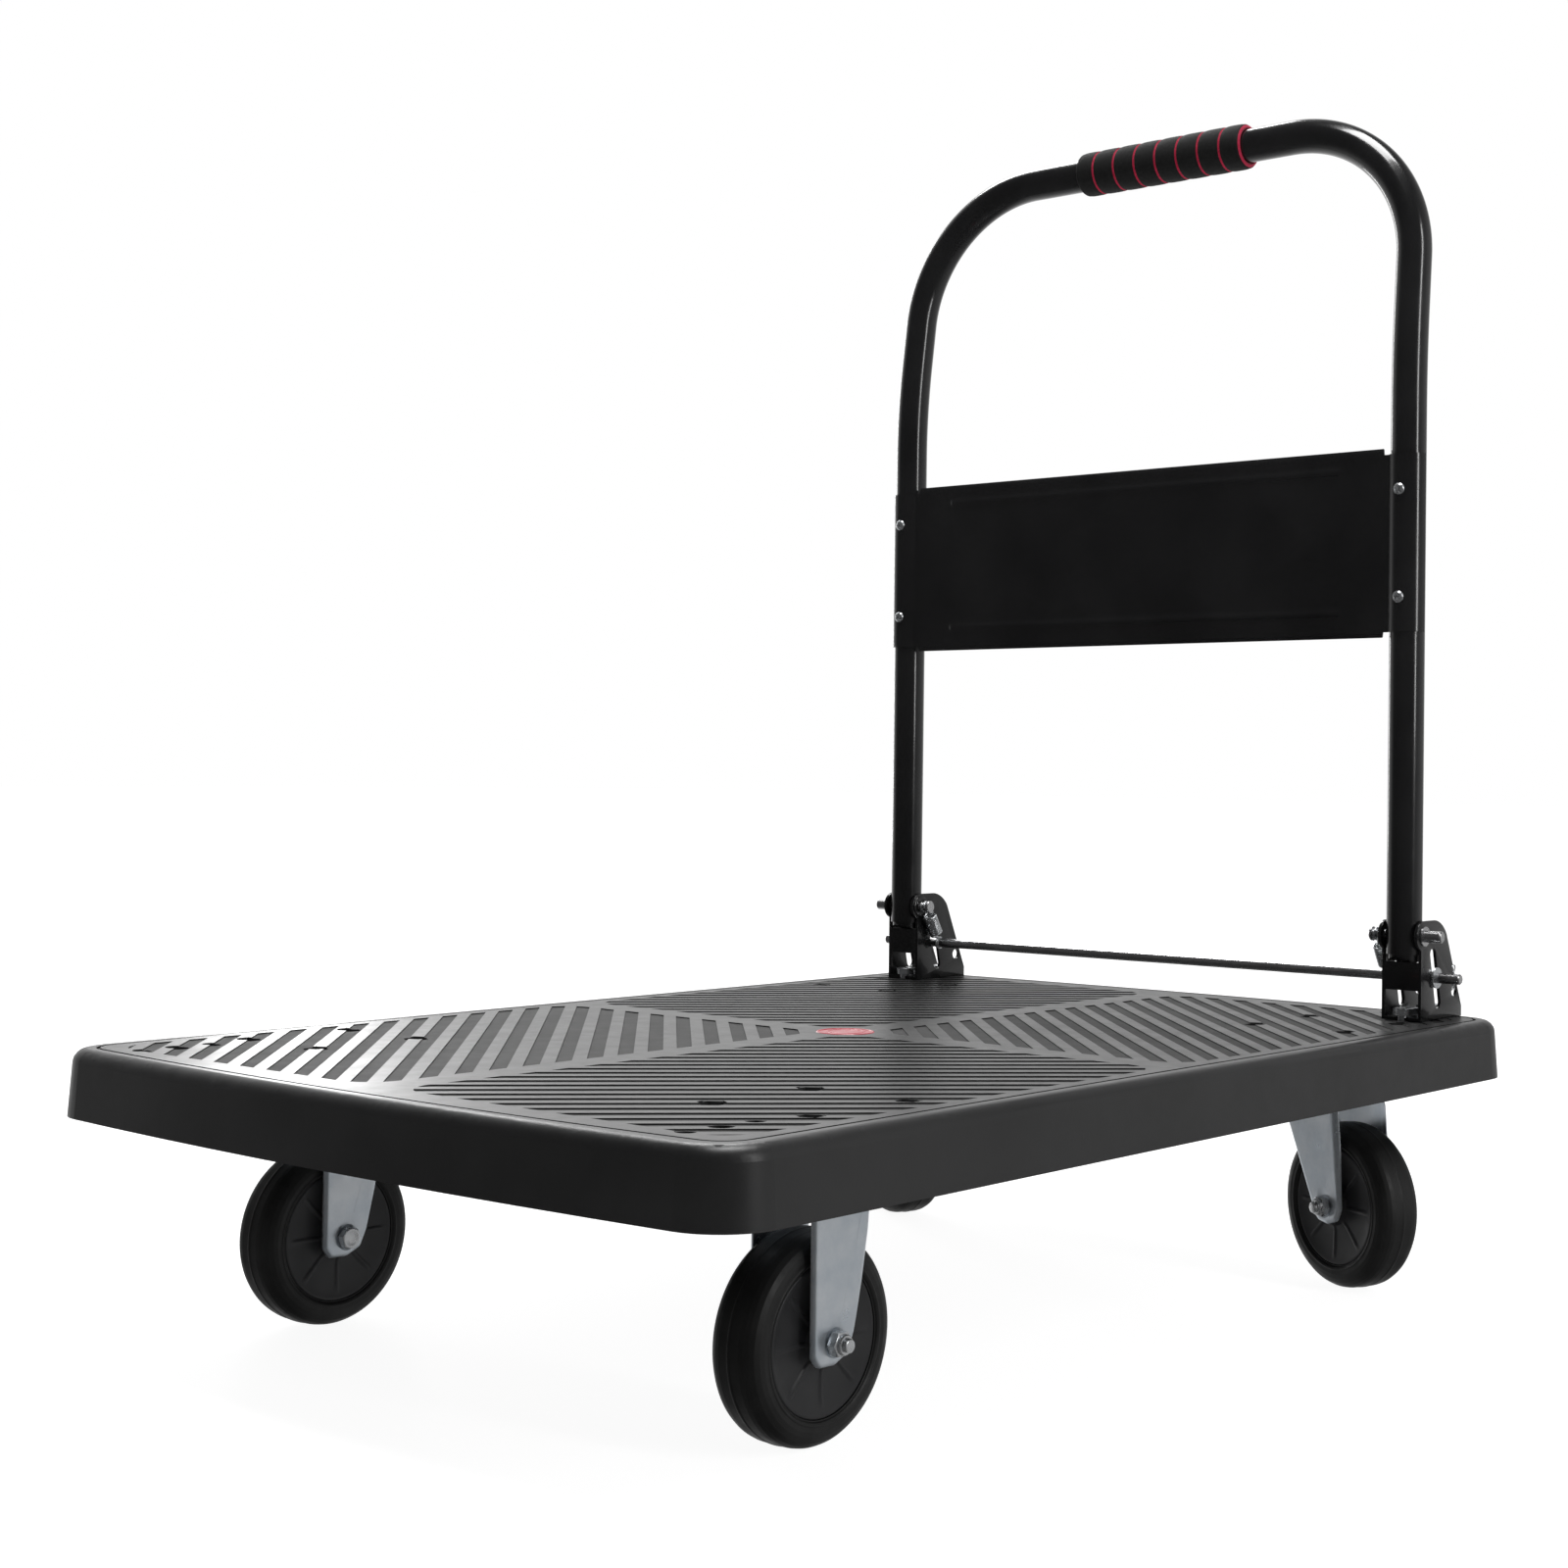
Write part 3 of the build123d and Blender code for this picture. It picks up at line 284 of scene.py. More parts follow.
# ------------------------------------------------------------------ materials
class Shader:
    """A Principled material and short ways to add nodes to it."""

    def __init__(self, name, **constants):
        self.material = bpy.data.materials.new(name)
        self.material.use_nodes = True
        self.tree = self.material.node_tree
        self.bsdf = self.tree.nodes["Principled BSDF"]
        for key, value in constants.items():
            self.bsdf.inputs[key.replace("_", " ")].default_value = value
        self.place = self.add("ShaderNodeTexCoord").outputs["Object"]

    def add(self, kind, **settings):
        node = self.tree.nodes.new(kind)
        for key, value in settings.items():
            setattr(node, key, value)
        return node

    def link(self, source, target):
        self.tree.links.new(source, target)

    def noise(self, scale, detail=4.0, rough=0.55, stretch=None):
        node = self.add("ShaderNodeTexNoise")
        node.inputs["Scale"].default_value = scale
        node.inputs["Detail"].default_value = detail
        node.inputs["Roughness"].default_value = rough
        source = self.place
        if stretch:
            mapping = self.add("ShaderNodeMapping")
            mapping.inputs["Scale"].default_value = stretch
            self.link(source, mapping.inputs["Vector"])
            source = mapping.outputs["Vector"]
        self.link(source, node.inputs["Vector"])
        return node.outputs["Fac"]

    def cells(self, scale, feature="F1"):
        node = self.add("ShaderNodeTexVoronoi", feature=feature)
        node.inputs["Scale"].default_value = scale
        self.link(self.place, node.inputs["Vector"])
        return node.outputs["Distance"]

    def span(self, value, low, high, out_low, out_high):
        node = self.add("ShaderNodeMapRange")
        for key, number in (("From Min", low), ("From Max", high), ("To Min", out_low), ("To Max", out_high)):
            node.inputs[key].default_value = number
        self.link(value, node.inputs["Value"])
        return node.outputs["Result"]

    def math(self, operation, a, b=None):
        node = self.add("ShaderNodeMath", operation=operation)
        for slot, value in zip(node.inputs, (a, b)):
            if value is None:
                continue
            if isinstance(value, (int, float)):
                slot.default_value = value
            else:
                self.link(value, slot)
        return node.outputs["Value"]

    def mix(self, share, a, b):
        node = self.add("ShaderNodeMix", data_type="RGBA")
        self.link(share, node.inputs["Factor"])
        sockets = [s for s in node.inputs if s.type == "RGBA"]
        for slot, value in zip(sockets, (a, b)):
            if isinstance(value, (tuple, list)):
                slot.default_value = (*value, 1.0)
            else:
                self.link(value, slot)
        return [s for s in node.outputs if s.type == "RGBA"][0]

    def bump(self, height, strength, distance):
        node = self.add("ShaderNodeBump")
        node.inputs["Strength"].default_value = strength
        node.inputs["Distance"].default_value = distance
        self.link(height, node.inputs["Height"])
        self.link(node.outputs["Normal"], self.bsdf.inputs["Normal"])

    def colour(self, source):
        self.link(source, self.bsdf.inputs["Base Color"])

    def roughness(self, source):
        self.link(source, self.bsdf.inputs["Roughness"])

    def worn_edges(self, low=0.52, high=0.62):
        geometry = self.add("ShaderNodeNewGeometry")
        return self.span(geometry.outputs["Pointiness"], low, high, 0.0, 1.0)


def deck_material():
    s = Shader("deck_plastic", Specular_IOR_Level=0.5)
    parts = s.add("ShaderNodeSeparateXYZ")
    s.link(s.place, parts.inputs["Vector"])
    x, y, z = parts.outputs
    inside_x = s.math("LESS_THAN", s.math("ABSOLUTE", x), (DECK_HI.x - 24) * MM)
    inside_y = s.math("LESS_THAN", s.math("ABSOLUTE", y), (DECK_HI.y - 17) * MM)
    sunk = s.math("LESS_THAN", z, (DECK_TOP - 0.4) * MM)
    high = s.math("GREATER_THAN", z, (DECK_TOP - 1.3) * MM)
    recess = s.math("MULTIPLY", s.math("MULTIPLY", inside_x, inside_y), s.math("MULTIPLY", sunk, high))
    broad = s.noise(9.0, 3.0)
    fine = s.noise(900.0, 2.0)
    raised = s.mix(s.span(broad, 0.35, 0.65, 0, 1), (0.0130, 0.0130, 0.0133), (0.0185, 0.0185, 0.0190))
    low = s.mix(s.span(fine, 0.3, 0.7, 0, 1), (0.0060, 0.0060, 0.0060), (0.0110, 0.0110, 0.0110))
    s.colour(s.mix(recess, raised, low))
    rough = s.math("ADD", s.span(s.noise(60.0, 5.0), 0.3, 0.7, 0.33, 0.40), s.math("MULTIPLY", recess, 0.36))
    s.roughness(rough)
    s.bump(s.math("ADD", fine, s.math("MULTIPLY", s.noise(260.0, 3.0), 0.6)), 0.16, 0.0002)
    return s.material


def paint_material():
    s = Shader("black_paint", Specular_IOR_Level=0.5, Coat_Weight=0.35, Coat_Roughness=0.06)
    peel = s.noise(150.0, 2.0)
    cloud = s.span(s.noise(14.0, 4.0), 0.35, 0.65, 0, 1)
    s.colour(s.mix(cloud, (0.0075, 0.0075, 0.008), (0.012, 0.012, 0.0125)))
    s.roughness(s.span(s.noise(40.0, 5.0), 0.3, 0.7, 0.15, 0.24))
    s.bump(peel, 0.05, 0.0003)
    return s.material


def zinc_material(name="zinc", low=(0.64, 0.70, 0.76), high=(0.80, 0.84, 0.88), rough=(0.27, 0.40)):
    s = Shader(name, Metallic=0.92)
    cloud = s.noise(38.0, 5.0, 0.6)
    tint = s.mix(s.span(cloud, 0.35, 0.65, 0, 1), low, high)
    s.colour(s.mix(s.math("MULTIPLY", s.worn_edges(), 0.5), tint, (0.82, 0.84, 0.86)))
    s.roughness(s.span(s.noise(75.0, 6.0), 0.3, 0.7, *rough))
    s.bump(s.math("ADD", s.cells(420.0), s.noise(700.0, 2.0)), 0.07, 0.0002)
    return s.material


def steel_material():
    s = Shader("steel", Metallic=1.0)
    streak = s.noise(60.0, 4.0, 0.6, stretch=(14.0, 1.0, 14.0))
    s.colour(s.mix(s.span(streak, 0.3, 0.7, 0, 1), (0.55, 0.55, 0.56), (0.74, 0.74, 0.75)))
    s.roughness(s.span(streak, 0.3, 0.7, 0.18, 0.32))
    s.bump(streak, 0.05, 0.0002)
    return s.material


def rubber_material():
    s = Shader("tyre_rubber", Specular_IOR_Level=0.42)
    dust = s.noise(22.0, 5.0)
    s.colour(s.mix(s.span(dust, 0.35, 0.7, 0, 1), (0.0045, 0.0045, 0.0045), (0.011, 0.011, 0.011)))
    s.roughness(s.span(s.noise(90.0, 5.0), 0.3, 0.7, 0.42, 0.56))
    s.bump(s.math("ADD", s.noise(650.0, 3.0), s.cells(300.0)), 0.08, 0.0002)
    return s.material


def hub_material():
    s = Shader("hub_plastic", Specular_IOR_Level=0.5)
    cloud = s.span(s.noise(30.0, 4.0), 0.35, 0.65, 0, 1)
    s.colour(s.mix(cloud, (0.010, 0.0102, 0.0115), (0.018, 0.0182, 0.0195)))
    s.roughness(s.span(s.noise(120.0, 5.0), 0.3, 0.7, 0.40, 0.52))
    s.bump(s.noise(800.0, 3.0), 0.1, 0.0002)
    return s.material


def foam_material(name, dark, light, sheen):
    s = Shader(name, Specular_IOR_Level=0.25, Sheen_Weight=sheen, Sheen_Roughness=0.5)
    pores = s.cells(1300.0)
    s.colour(s.mix(s.span(s.noise(420.0, 5.0), 0.3, 0.7, 0, 1), dark, light))
    s.roughness(s.span(pores, 0.0, 0.6, 0.95, 0.78))
    s.bump(s.math("ADD", pores, s.noise(900.0, 3.0)), 0.5, 0.0003)
    return s.material


def badge_material():
    s = Shader("badge_red", Specular_IOR_Level=0.5, Coat_Weight=0.15, Coat_Roughness=0.2)
    s.colour(s.mix(s.span(s.noise(160.0, 4.0), 0.35, 0.65, 0, 1), (0.36, 0.012, 0.03), (0.46, 0.022, 0.045)))
    s.roughness(s.span(s.noise(200.0, 3.0), 0.3, 0.7, 0.25, 0.4))
    s.bump(s.noise(500.0, 2.0), 0.06, 0.0002)
    return s.material


DECK = deck_material()
PAINT = paint_material()
ZINC = zinc_material()
BRIGHT = zinc_material("bright_zinc", (0.60, 0.62, 0.64), (0.76, 0.77, 0.78), (0.2, 0.34))
STEEL = steel_material()
RUBBER = rubber_material()
HUB = hub_material()
FOAM = foam_material("foam", (0.005, 0.005, 0.005), (0.010, 0.010, 0.010), 0.04)
CRIMSON = foam_material("crimson_foam", (0.30, 0.006, 0.03), (0.42, 0.015, 0.055), 0.1)
BADGE = badge_material()

CAD_FINISH = {
    "deck": DECK,
    "bar_washers": BRIGHT, "bracket_washers": BRIGHT, "kingpin_left": BRIGHT, "kingpin_right": BRIGHT,
    "pin_clips": STEEL, "lock_bar": STEEL, "heel_left": PAINT, "heel_right": PAINT,
    "front_axle_sleeves": BRIGHT, "rear_axle_sleeve_left": BRIGHT, "rear_axle_sleeve_right": BRIGHT,
}
for node_name, finish in CAD_FINISH.items():
    mesh = NODES[node_name].data
    mesh.materials.clear()
    mesh.materials.append(finish)


# ------------------------------------------------------------------ wheels
WHEELS = {
    "front_left": ("wheel_front_left", "wheel_spin_front_left"),
    "front_right": ("wheel_front_right", "wheel_spin_front_right"),
    "rear_left": ("wheel_rear_left", "wheel_spin_rear_left"),
    "rear_right": ("wheel_rear_right", "wheel_spin_rear_right"),
}
HUB_R = 43.3
TYRE_R = 60.2
TYRE_W = 17.75


def axle(name):
    """Matrix whose local Z is the wheel's axle, from the wheel's joint."""
    joint = JOINTS[WHEELS[name][1]]
    return facing(middle("tyre_" + name), joint["axis"])


def build_tyre(name):
    bm = bmesh.new()
    w, r = TYRE_W, TYRE_R
    half = [(HUB_R - 0.1, w - 1.6), (HUB_R + 0.5, w - 1.6), (HUB_R + 1.2, w - 0.7), (HUB_R + 2.4, w - 0.1)]
    half += [(r - 14, w), (r - 13.2, w - 0.35), (r - 10.5, w - 0.2), (r - 7.5, w - 0.9), (r - 4.4, w - 2.4)]
    half += [(r - 2.2, w - 4.8), (r - 0.9, w - 7.6), (r - 0.4, w - 10.5), (r - 0.3, 1.2), (r - 0.02, 0.45)]
    half = rounded(half, 1.2, 3, closed=False)
    profile = half + [(a, -b) for a, b in reversed(half)]
    lathe(bm, profile, axle(name), 160)
    piece("wheel_tyre_" + name, bm, WHEELS[name][0], [RUBBER], ["tyre_" + name], sharp=40)


def build_hub(name):
    """Moulded centre: boss, dished web with eight ribs, rim, on both faces."""
    bm = bmesh.new()
    place = axle(name)
    bore, boss, web, rim = 6.15, 20.6, 14.2, TYRE_W - 1.25
    stops = [(bore, boss - 0.5), (bore + 0.6, boss), (11.6, boss), (12.6, boss - 0.7), (13.4, boss - 2.4)]
    stops += [(14.6, web + 0.9), (16.5, web + 0.3), (19, web), (25, web), (31, web + 0.15)]
    stops += [(35, web + 0.5), (38, web + 1.0), (40, rim - 0.9)]
    stops += [(41.2, rim - 0.55), (42.2, rim - 0.5), (42.8, rim - 0.8), (43.15, rim - 1.8)]
    count = 240
    sides = []
    for face in (1, -1):
        rows = []
        for r, u in stops:
            row = []
            for k in range(count):
                a = TAU * k / count
                off = abs((a + math.pi / 8) % (math.pi / 4) - math.pi / 8) * r
                rib = max(0.0, min(1.0, (1.7 - off) / 1.1))
                rib = rib * rib * (3 - 2 * rib)
                lift = 0.8 * rib if 13.5 < r < 38 else 0.0
                at = Vector((r * math.cos(a), r * math.sin(a), face * min(u + lift, boss)))
                row.append(bm.verts.new(place @ at))
            rows.append(row)
        quads(bm, rows, wrap=True)
        sides.append(rows)
    quads(bm, [sides[0][0], sides[1][0]], wrap=True)
    quads(bm, [sides[0][-1], sides[1][-1]], wrap=True)
    piece("wheel_hub_" + name, bm, WHEELS[name][0], [HUB], ["hub_" + name], sharp=48)


for wheel in WHEELS:
    build_tyre(wheel)
    build_hub(wheel)


# ------------------------------------------------------------------ nuts and bolts
def bolt(bm, place, head=5.3, shank=4.0, length=30.0, thread_length=10.0):
    """Hexagon bolt: head on local z = 0 upwards, shank downwards."""
    hexagon(bm, place, 13.0, head, dish=0.35)
    plain = -(length - thread_length)
    lathe(bm, [(0, 0.2), (shank, 0.2), (shank, plain), (0, plain)], place, 32, closed=False)
    thread(bm, place, shank, -(length - thread_length), -length)


def nut(bm, place, height=6.0, collar=2.4):
    """Lock nut standing on local z = 0, with its round collar on top."""
    hexagon(bm, place, 13.0, height, up_chamfer=True, down_chamfer=True, bore=3.8)
    if collar:
        outline = [(3.8, height - 0.2), (5.9, height - 0.2)]
        outline += [(5.8, height + collar - 0.9), (5.3, height + collar - 0.2)]
        outline += [(4.7, height + collar), (3.8, height + collar - 0.2)]
        lathe(bm, outline, place, 48)


FORK_OUT = 24.5


def wheel_axle_direction(name):
    """Axle direction of a wheel, from its own joint."""
    axis = Vector(JOINTS[WHEELS[name][1]]["axis"])
    return axis.normalized()


def mesh_way(node, name):
    """Mean position of a node's vertices along the axle, which tells the side its head is on."""
    centre = middle("tyre_" + name)
    axis = wheel_axle_direction(name)
    reach = []
    for v in NODES[node].data.vertices:
        at = v.co / MM
        if (at - centre).length < 60:
            reach.append((at - centre).dot(axis))
    return 1 if sum(reach) > 0 else -1


def dressed_axle(name, bm_bolt, bm_nut, nut_node):
    """Adds the axle bolt and lock nut of a wheel."""
    axis = wheel_axle_direction(name)
    centre = middle("tyre_" + name)
    nut_way = mesh_way(nut_node, name)
    head = facing(centre - axis * nut_way * FORK_OUT, -axis * nut_way, 0.3)
    bolt(bm_bolt, head, length=2 * FORK_OUT + 11.0, thread_length=12.0)
    nut(bm_nut, facing(centre + axis * nut_way * FORK_OUT, axis * nut_way, 0.5))


bolts, nuts = bmesh.new(), bmesh.new()
for wheel in ("front_left", "front_right"):
    dressed_axle(wheel, bolts, nuts, "front_axle_nuts")
piece("axle_bolts_front", bolts, "deck", [BRIGHT], ["front_axle_bolts"])
piece("axle_nuts_front", nuts, "deck", [BRIGHT], ["front_axle_nuts"])
for hand in ("left", "right"):
    bolts, nuts = bmesh.new(), bmesh.new()
    dressed_axle("rear_" + hand, bolts, nuts, "rear_axle_nut_" + hand)
    piece("axle_bolt_rear_" + hand, bolts, "swivel_" + hand, [BRIGHT], ["rear_axle_bolt_" + hand])
    piece("axle_nut_rear_" + hand, nuts, "swivel_" + hand, [BRIGHT], ["rear_axle_nut_" + hand])


def islands(node):
    """Middle of each separate solid of a node, found from its vertices' plan positions."""
    found = []
    for v in NODES[node].data.vertices:
        at = v.co / MM
        for group in found:
            if math.hypot(at.x - group[0], at.y - group[1]) < 14:
                group[2].append(at)
                break
        else:
            found.append((at.x, at.y, [at]))
    spots = []
    for _, _, members in found:
        xs = [p.x for p in members]
        ys = [p.y for p in members]
        spots.append(((min(xs) + max(xs)) / 2, (min(ys) + max(ys)) / 2))
    return spots


def upright(x, y, z, up=1, roll=0.0):
    return facing((x, y, z), (0, 0, up), roll)


HEAD_H = 5.3


def bolt_set(name, node, roll=0.0):
    """The upright bolts and nuts of the casters or of the brackets."""
    bolts, nuts = bmesh.new(), bmesh.new()
    low, high = span(node + "_bolts")
    nut_low, nut_high = span(node + "_nuts")
    under = high.z - HEAD_H
    for x, y in islands(node + "_nuts"):
        bolt(bolts, upright(x, y, under, 1, roll), length=under - low.z, thread_length=9.0)
        hexagon(nuts, upright(x, y, nut_high.z, -1), 13.0, nut_high.z - nut_low.z, bore=3.8)
    piece(name + "_bolt_set", bolts, "deck", [BRIGHT], [node + "_bolts"])
    piece(name + "_nut_set", nuts, "deck", [BRIGHT], [node + "_nuts"])


bolt_set("caster", "caster")
bolt_set("post", "bracket", 0.4)


# ------------------------------------------------------------------ pressed sheet parts
def smooth(t):
    t = max(0.0, min(1.0, t))
    return t * t * (3 - 2 * t)


def inset(points, distance, widen=0.0):
    """Moves each point of an anticlockwise outline inwards, and with widen further high up on its +X side."""
    count = len(points)
    out = []
    for i in range(count):
        here = Vector(points[i])
        run = (Vector(points[(i + 1) % count]) - Vector(points[i - 1])).normalized()
        inward = Vector((-run.y, run.x))
        out.append(here + inward * distance * (1 + widen * max(0.0, -inward.x) * smooth((here.y - 8) / 30)))
    return out


def resample(points, step):
    """Points evenly spaced round a closed outline."""
    out = []
    for a, b in zip(points, points[1:] + points[:1]):
        a, b = Vector(a), Vector(b)
        count = max(1, int((b - a).length / step))
        out += [a.lerp(b, k / count) for k in range(count)]
    return out


SEAT_R = 8.8             # edge of the seat stamped round an axle


def pressed_leg(bm, place, outline, turn=3.0, sheet=2.4, widen=0.9):
    """Fork leg of sheet: outer face on local z = 0, edges turned down, a stamped seat round the axle."""
    loop = resample(rounded(outline, 6.0, 8), 2.0)
    area = sum(a.x * b.y - b.x * a.y for a, b in zip(loop, loop[1:] + loop[:1]))
    if area < 0:
        loop.reverse()
    quarter = [math.pi / 2 * k / 6 for k in range(7)]
    angles = [math.atan2(p.y, p.x) for p in loop]
    within = inset(loop, turn, widen)
    seat = [(SEAT_R, 0.0), (8.3, -0.2), (7.6, -0.85), (6.9, -1.1), (4.05, -1.1)]

    def edge(distance, depth):
        return [bm.verts.new(place @ Vector((p.x, p.y, depth))) for p in inset(loop, distance, widen)]

    def ring(radius, depth):
        spots = [Vector((radius * math.cos(a), radius * math.sin(a), depth)) for a in angles]
        return [bm.verts.new(place @ at) for at in spots]

    def support(mix, depth):
        row = []
        for p, a in zip(within, angles):
            q = p.lerp(Vector((SEAT_R * math.cos(a), SEAT_R * math.sin(a))), mix)
            row.append(bm.verts.new(place @ Vector((q.x, q.y, depth))))
        return row

    rows = [edge(turn * (1 - math.sin(a)), -turn * (1 - math.cos(a))) for a in reversed(quarter)]
    rows += [support(0.06, 0.0), support(0.9, 0.0)]
    rows += [ring(r, z) for r, z in seat]
    rows += [ring(r, z - sheet) for r, z in reversed(seat)]
    rows += [support(0.9, -sheet), support(0.06, -sheet)]
    rows += [edge(turn - (turn - sheet) * math.sin(a), -turn + (turn - sheet) * math.cos(a)) for a in quarter]
    rows.append(rows[0])
    quads(bm, rows, wrap=True)


def plate(bm, place, outline, thickness, edge=0.7):
    """Flat plate with eased edges standing on local z = 0."""
    loop = [Vector(p) for p in outline]
    area = sum(a.x * b.y - b.x * a.y for a, b in zip(loop, loop[1:] + loop[:1]))
    if area < 0:
        loop.reverse()
    levels = [(edge, 0.0), (edge * 0.3, edge * 0.3), (0.0, edge), (0.0, thickness - edge)]
    levels += [(edge * 0.3, thickness - edge * 0.3), (edge, thickness)]
    rows = []
    for distance, z in levels:
        rows.append([bm.verts.new(place @ Vector((p.x, p.y, z))) for p in inset(loop, distance)])
    quads(bm, rows, wrap=True)
    bm.faces.new(rows[0])
    bm.faces.new(rows[-1])


def thicken(obj, thickness):
    """Gives an open sheet its thickness, inwards, and keeps the result in the mesh."""
    mod = obj.modifiers.new("sheet", "SOLIDIFY")
    mod.thickness = thickness * MM
    mod.offset = -1.0
    mod.use_even_offset = True
    bake(obj)


def bake(obj):
    depsgraph = bpy.context.evaluated_depsgraph_get()
    mesh = bpy.data.meshes.new_from_object(obj.evaluated_get(depsgraph))
    obj.modifiers.clear()
    obj.data = mesh


def rectangle(cx, cy, dx, dy, corner):
    corners = [(cx + a * dx / 2, cy + b * dy / 2) for a, b in ((-1, -1), (1, -1), (1, 1), (-1, 1))]
    return rounded(corners, corner, 6)


PLATE_X, PLATE_Y = 104.0, 94.0
PLATE_T = 3.5
CROWN_T = 4.0


def mount_plate(bm, low, high):
    """A caster's mounting plate, its top at high and centred between low and high."""
    mid = (low + high) / 2
    outline = rectangle(mid.x, mid.y, PLATE_X, PLATE_Y, 8)
    plate(bm, Matrix.Translation(Vector((0, 0, high.z - PLATE_T))), outline, PLATE_T)


def finished(name, obj, body, materials, stands_for):
    """Makes a piece of a sheet that has its thickness."""
    bm = bmesh.new()
    bm.from_mesh(obj.data)
    bpy.data.objects.remove(obj)
    bmesh.ops.scale(bm, vec=(1 / MM, 1 / MM, 1 / MM), verts=bm.verts)
    return piece(name, bm, body, materials, stands_for, sharp=35)


def loose(name, bm, material):
    """A sheet that is not yet a piece."""
    bmesh.ops.remove_doubles(bm, verts=bm.verts, dist=1e-4)
    bmesh.ops.recalc_face_normals(bm, faces=bm.faces)
    bmesh.ops.scale(bm, vec=(MM, MM, MM), verts=bm.verts)
    mesh = bpy.data.meshes.new(name)
    bm.to_mesh(mesh)
    bm.free()
    mesh.materials.append(material)
    obj = bpy.data.objects.new(name, mesh)
    bpy.context.scene.collection.objects.link(obj)
    return obj


def front_fork(hand):
    centre = middle("tyre_front_" + hand)
    low, high = span("front_fork_" + hand)
    top = high.z - PLATE_T - centre.z + 1.5
    outline = [(-18, top), (-18, -6), (-13, -12.5), (1, -13), (12, -8)]
    outline += [(17, 3), (24, 30), (29, 58), (32, top)]
    bm = bmesh.new()
    for side in (1, -1):
        turn = Matrix(((1, 0, 0), (0, 0, side), (0, 1, 0))).to_4x4()
        pressed_leg(bm, Matrix.Translation(centre + Vector((0, side * FORK_OUT, 0))) @ turn, outline)
    mount_plate(bm, low, high)
    piece("caster_fork_front_" + hand, bm, "deck", [ZINC], ["front_fork_" + hand], sharp=35)


def swivel_fork(hand):
    name = "rear_" + hand
    centre = middle("tyre_" + name)
    axis = wheel_axle_direction(name)
    king = spot("swivel_turn_" + hand)
    trail = Vector((centre.x - king.x, centre.y - king.y, 0))
    forward = trail.normalized()
    high = span("swivel_fork_" + hand)[1]
    crown_z = high.z - CROWN_T
    up = crown_z - centre.z
    outline = [(-14, -4), (-9, -11.5), (2, -13), (13, -9), (17, 0)]
    outline += [(15, 40), (11, up + 1), (-52, up + 1), (-47, up - 16)]
    bm = bmesh.new()
    for side in (1, -1):
        across = axis * side
        turn = Matrix(((forward.x, 0, across.x), (forward.y, 0, across.y), (forward.z, 1, across.z))).to_4x4()
        pressed_leg(bm, Matrix.Translation(centre + across * FORK_OUT) @ turn, outline)
    heading = Matrix.Rotation(math.atan2(forward.y, forward.x), 4, "Z")
    crown = Matrix.Translation(Vector((king.x, king.y, crown_z))) @ heading
    plate(bm, crown, rectangle(trail.length - 20.5, 0, 63, 2 * FORK_OUT, 4), 3.9, edge=1.2)
    race = [(6.1, 0.1), (28, 0.1), (28, 4), (25.5, 4), (24, 3.2), (20, 3.2), (18.5, 4), (6.1, 4)]
    lathe(bm, rounded(race, 0.7, 3), crown, 72)
    piece("caster_fork_rear_" + hand, bm, "swivel_" + hand, [ZINC], ["swivel_fork_" + hand], sharp=35)


def swivel_plate(hand):
    low, high = span("swivel_plate_" + hand)
    mid = (low + high) / 2
    bm = bmesh.new()
    mount_plate(bm, low, high)
    place = Matrix.Translation(Vector((mid.x, mid.y, low.z)))
    deep = high.z - PLATE_T - low.z + 0.2
    cup = [(6.1, 0.8), (18.5, 0.8), (20, 1.5), (24, 1.5), (25.5, 0.0), (28, 0.0)]
    cup += [(27.2, 2.2), (24.9, deep), (6.1, deep)]
    lathe(bm, rounded(cup, 0.7, 3), place, 72)
    piece("caster_plate_rear_" + hand, bm, "deck", [ZINC], ["swivel_plate_" + hand], sharp=35)
    balls = bmesh.new()
    lo, hi = span("ball_ring_" + hand)
    radius = (hi.z - lo.z) / 2
    for k in range(40):
        a = TAU * k / 40
        at = Vector((mid.x + 22 * math.cos(a), mid.y + 22 * math.sin(a), (lo.z + hi.z) / 2))
        bmesh.ops.create_icosphere(balls, subdivisions=2, radius=radius, matrix=Matrix.Translation(at))
    body = "swivel_" + hand
    piece("ball_race_" + hand, balls, body, [STEEL], ["ball_ring_" + hand], sharp=60)


for hand in ("left", "right"):
    front_fork(hand)
    swivel_fork(hand)
    swivel_plate(hand)


# ------------------------------------------------------------------ brackets
def eased_bracket(hand):
    """The bracket's sheet with its cut and folded edges eased, and a pressed ring round the pin."""
    source = NODES["bracket_" + hand].data
    bm = bmesh.new()
    bm.from_mesh(source)
    bmesh.ops.scale(bm, vec=(1 / MM, 1 / MM, 1 / MM), verts=bm.verts)
    bmesh.ops.remove_doubles(bm, verts=bm.verts, dist=1e-3)
    bmesh.ops.dissolve_limit(bm, angle_limit=math.radians(2), verts=bm.verts, edges=bm.edges)
    edges = [e for e in bm.edges if len(e.link_faces) == 2 and e.calc_face_angle() > math.radians(35)]
    bmesh.ops.bevel(bm, geom=edges, offset=0.55, segments=3, profile=0.5, affect="EDGES", clamp_overlap=True)
    side = 1 if hand == "left" else -1
    for way, lift in ((-1, 1.1), (1, 0.22)):
        face_y = side * POST_Y + way * side * 16.5
        place = facing((PIVOT.x, face_y, PIVOT.z), (0, way * side, 0))
        ring = [(5.2, -0.6), (9.6, -0.6), (9.4, lift * 0.6), (8.6, lift), (6.6, lift), (5.4, lift * 0.5)]
        lathe(bm, rounded(ring, 0.4, 3), place, 64)
    piece("post_bracket_" + hand, bm, "deck", [PAINT], ["bracket_" + hand], sharp=38)


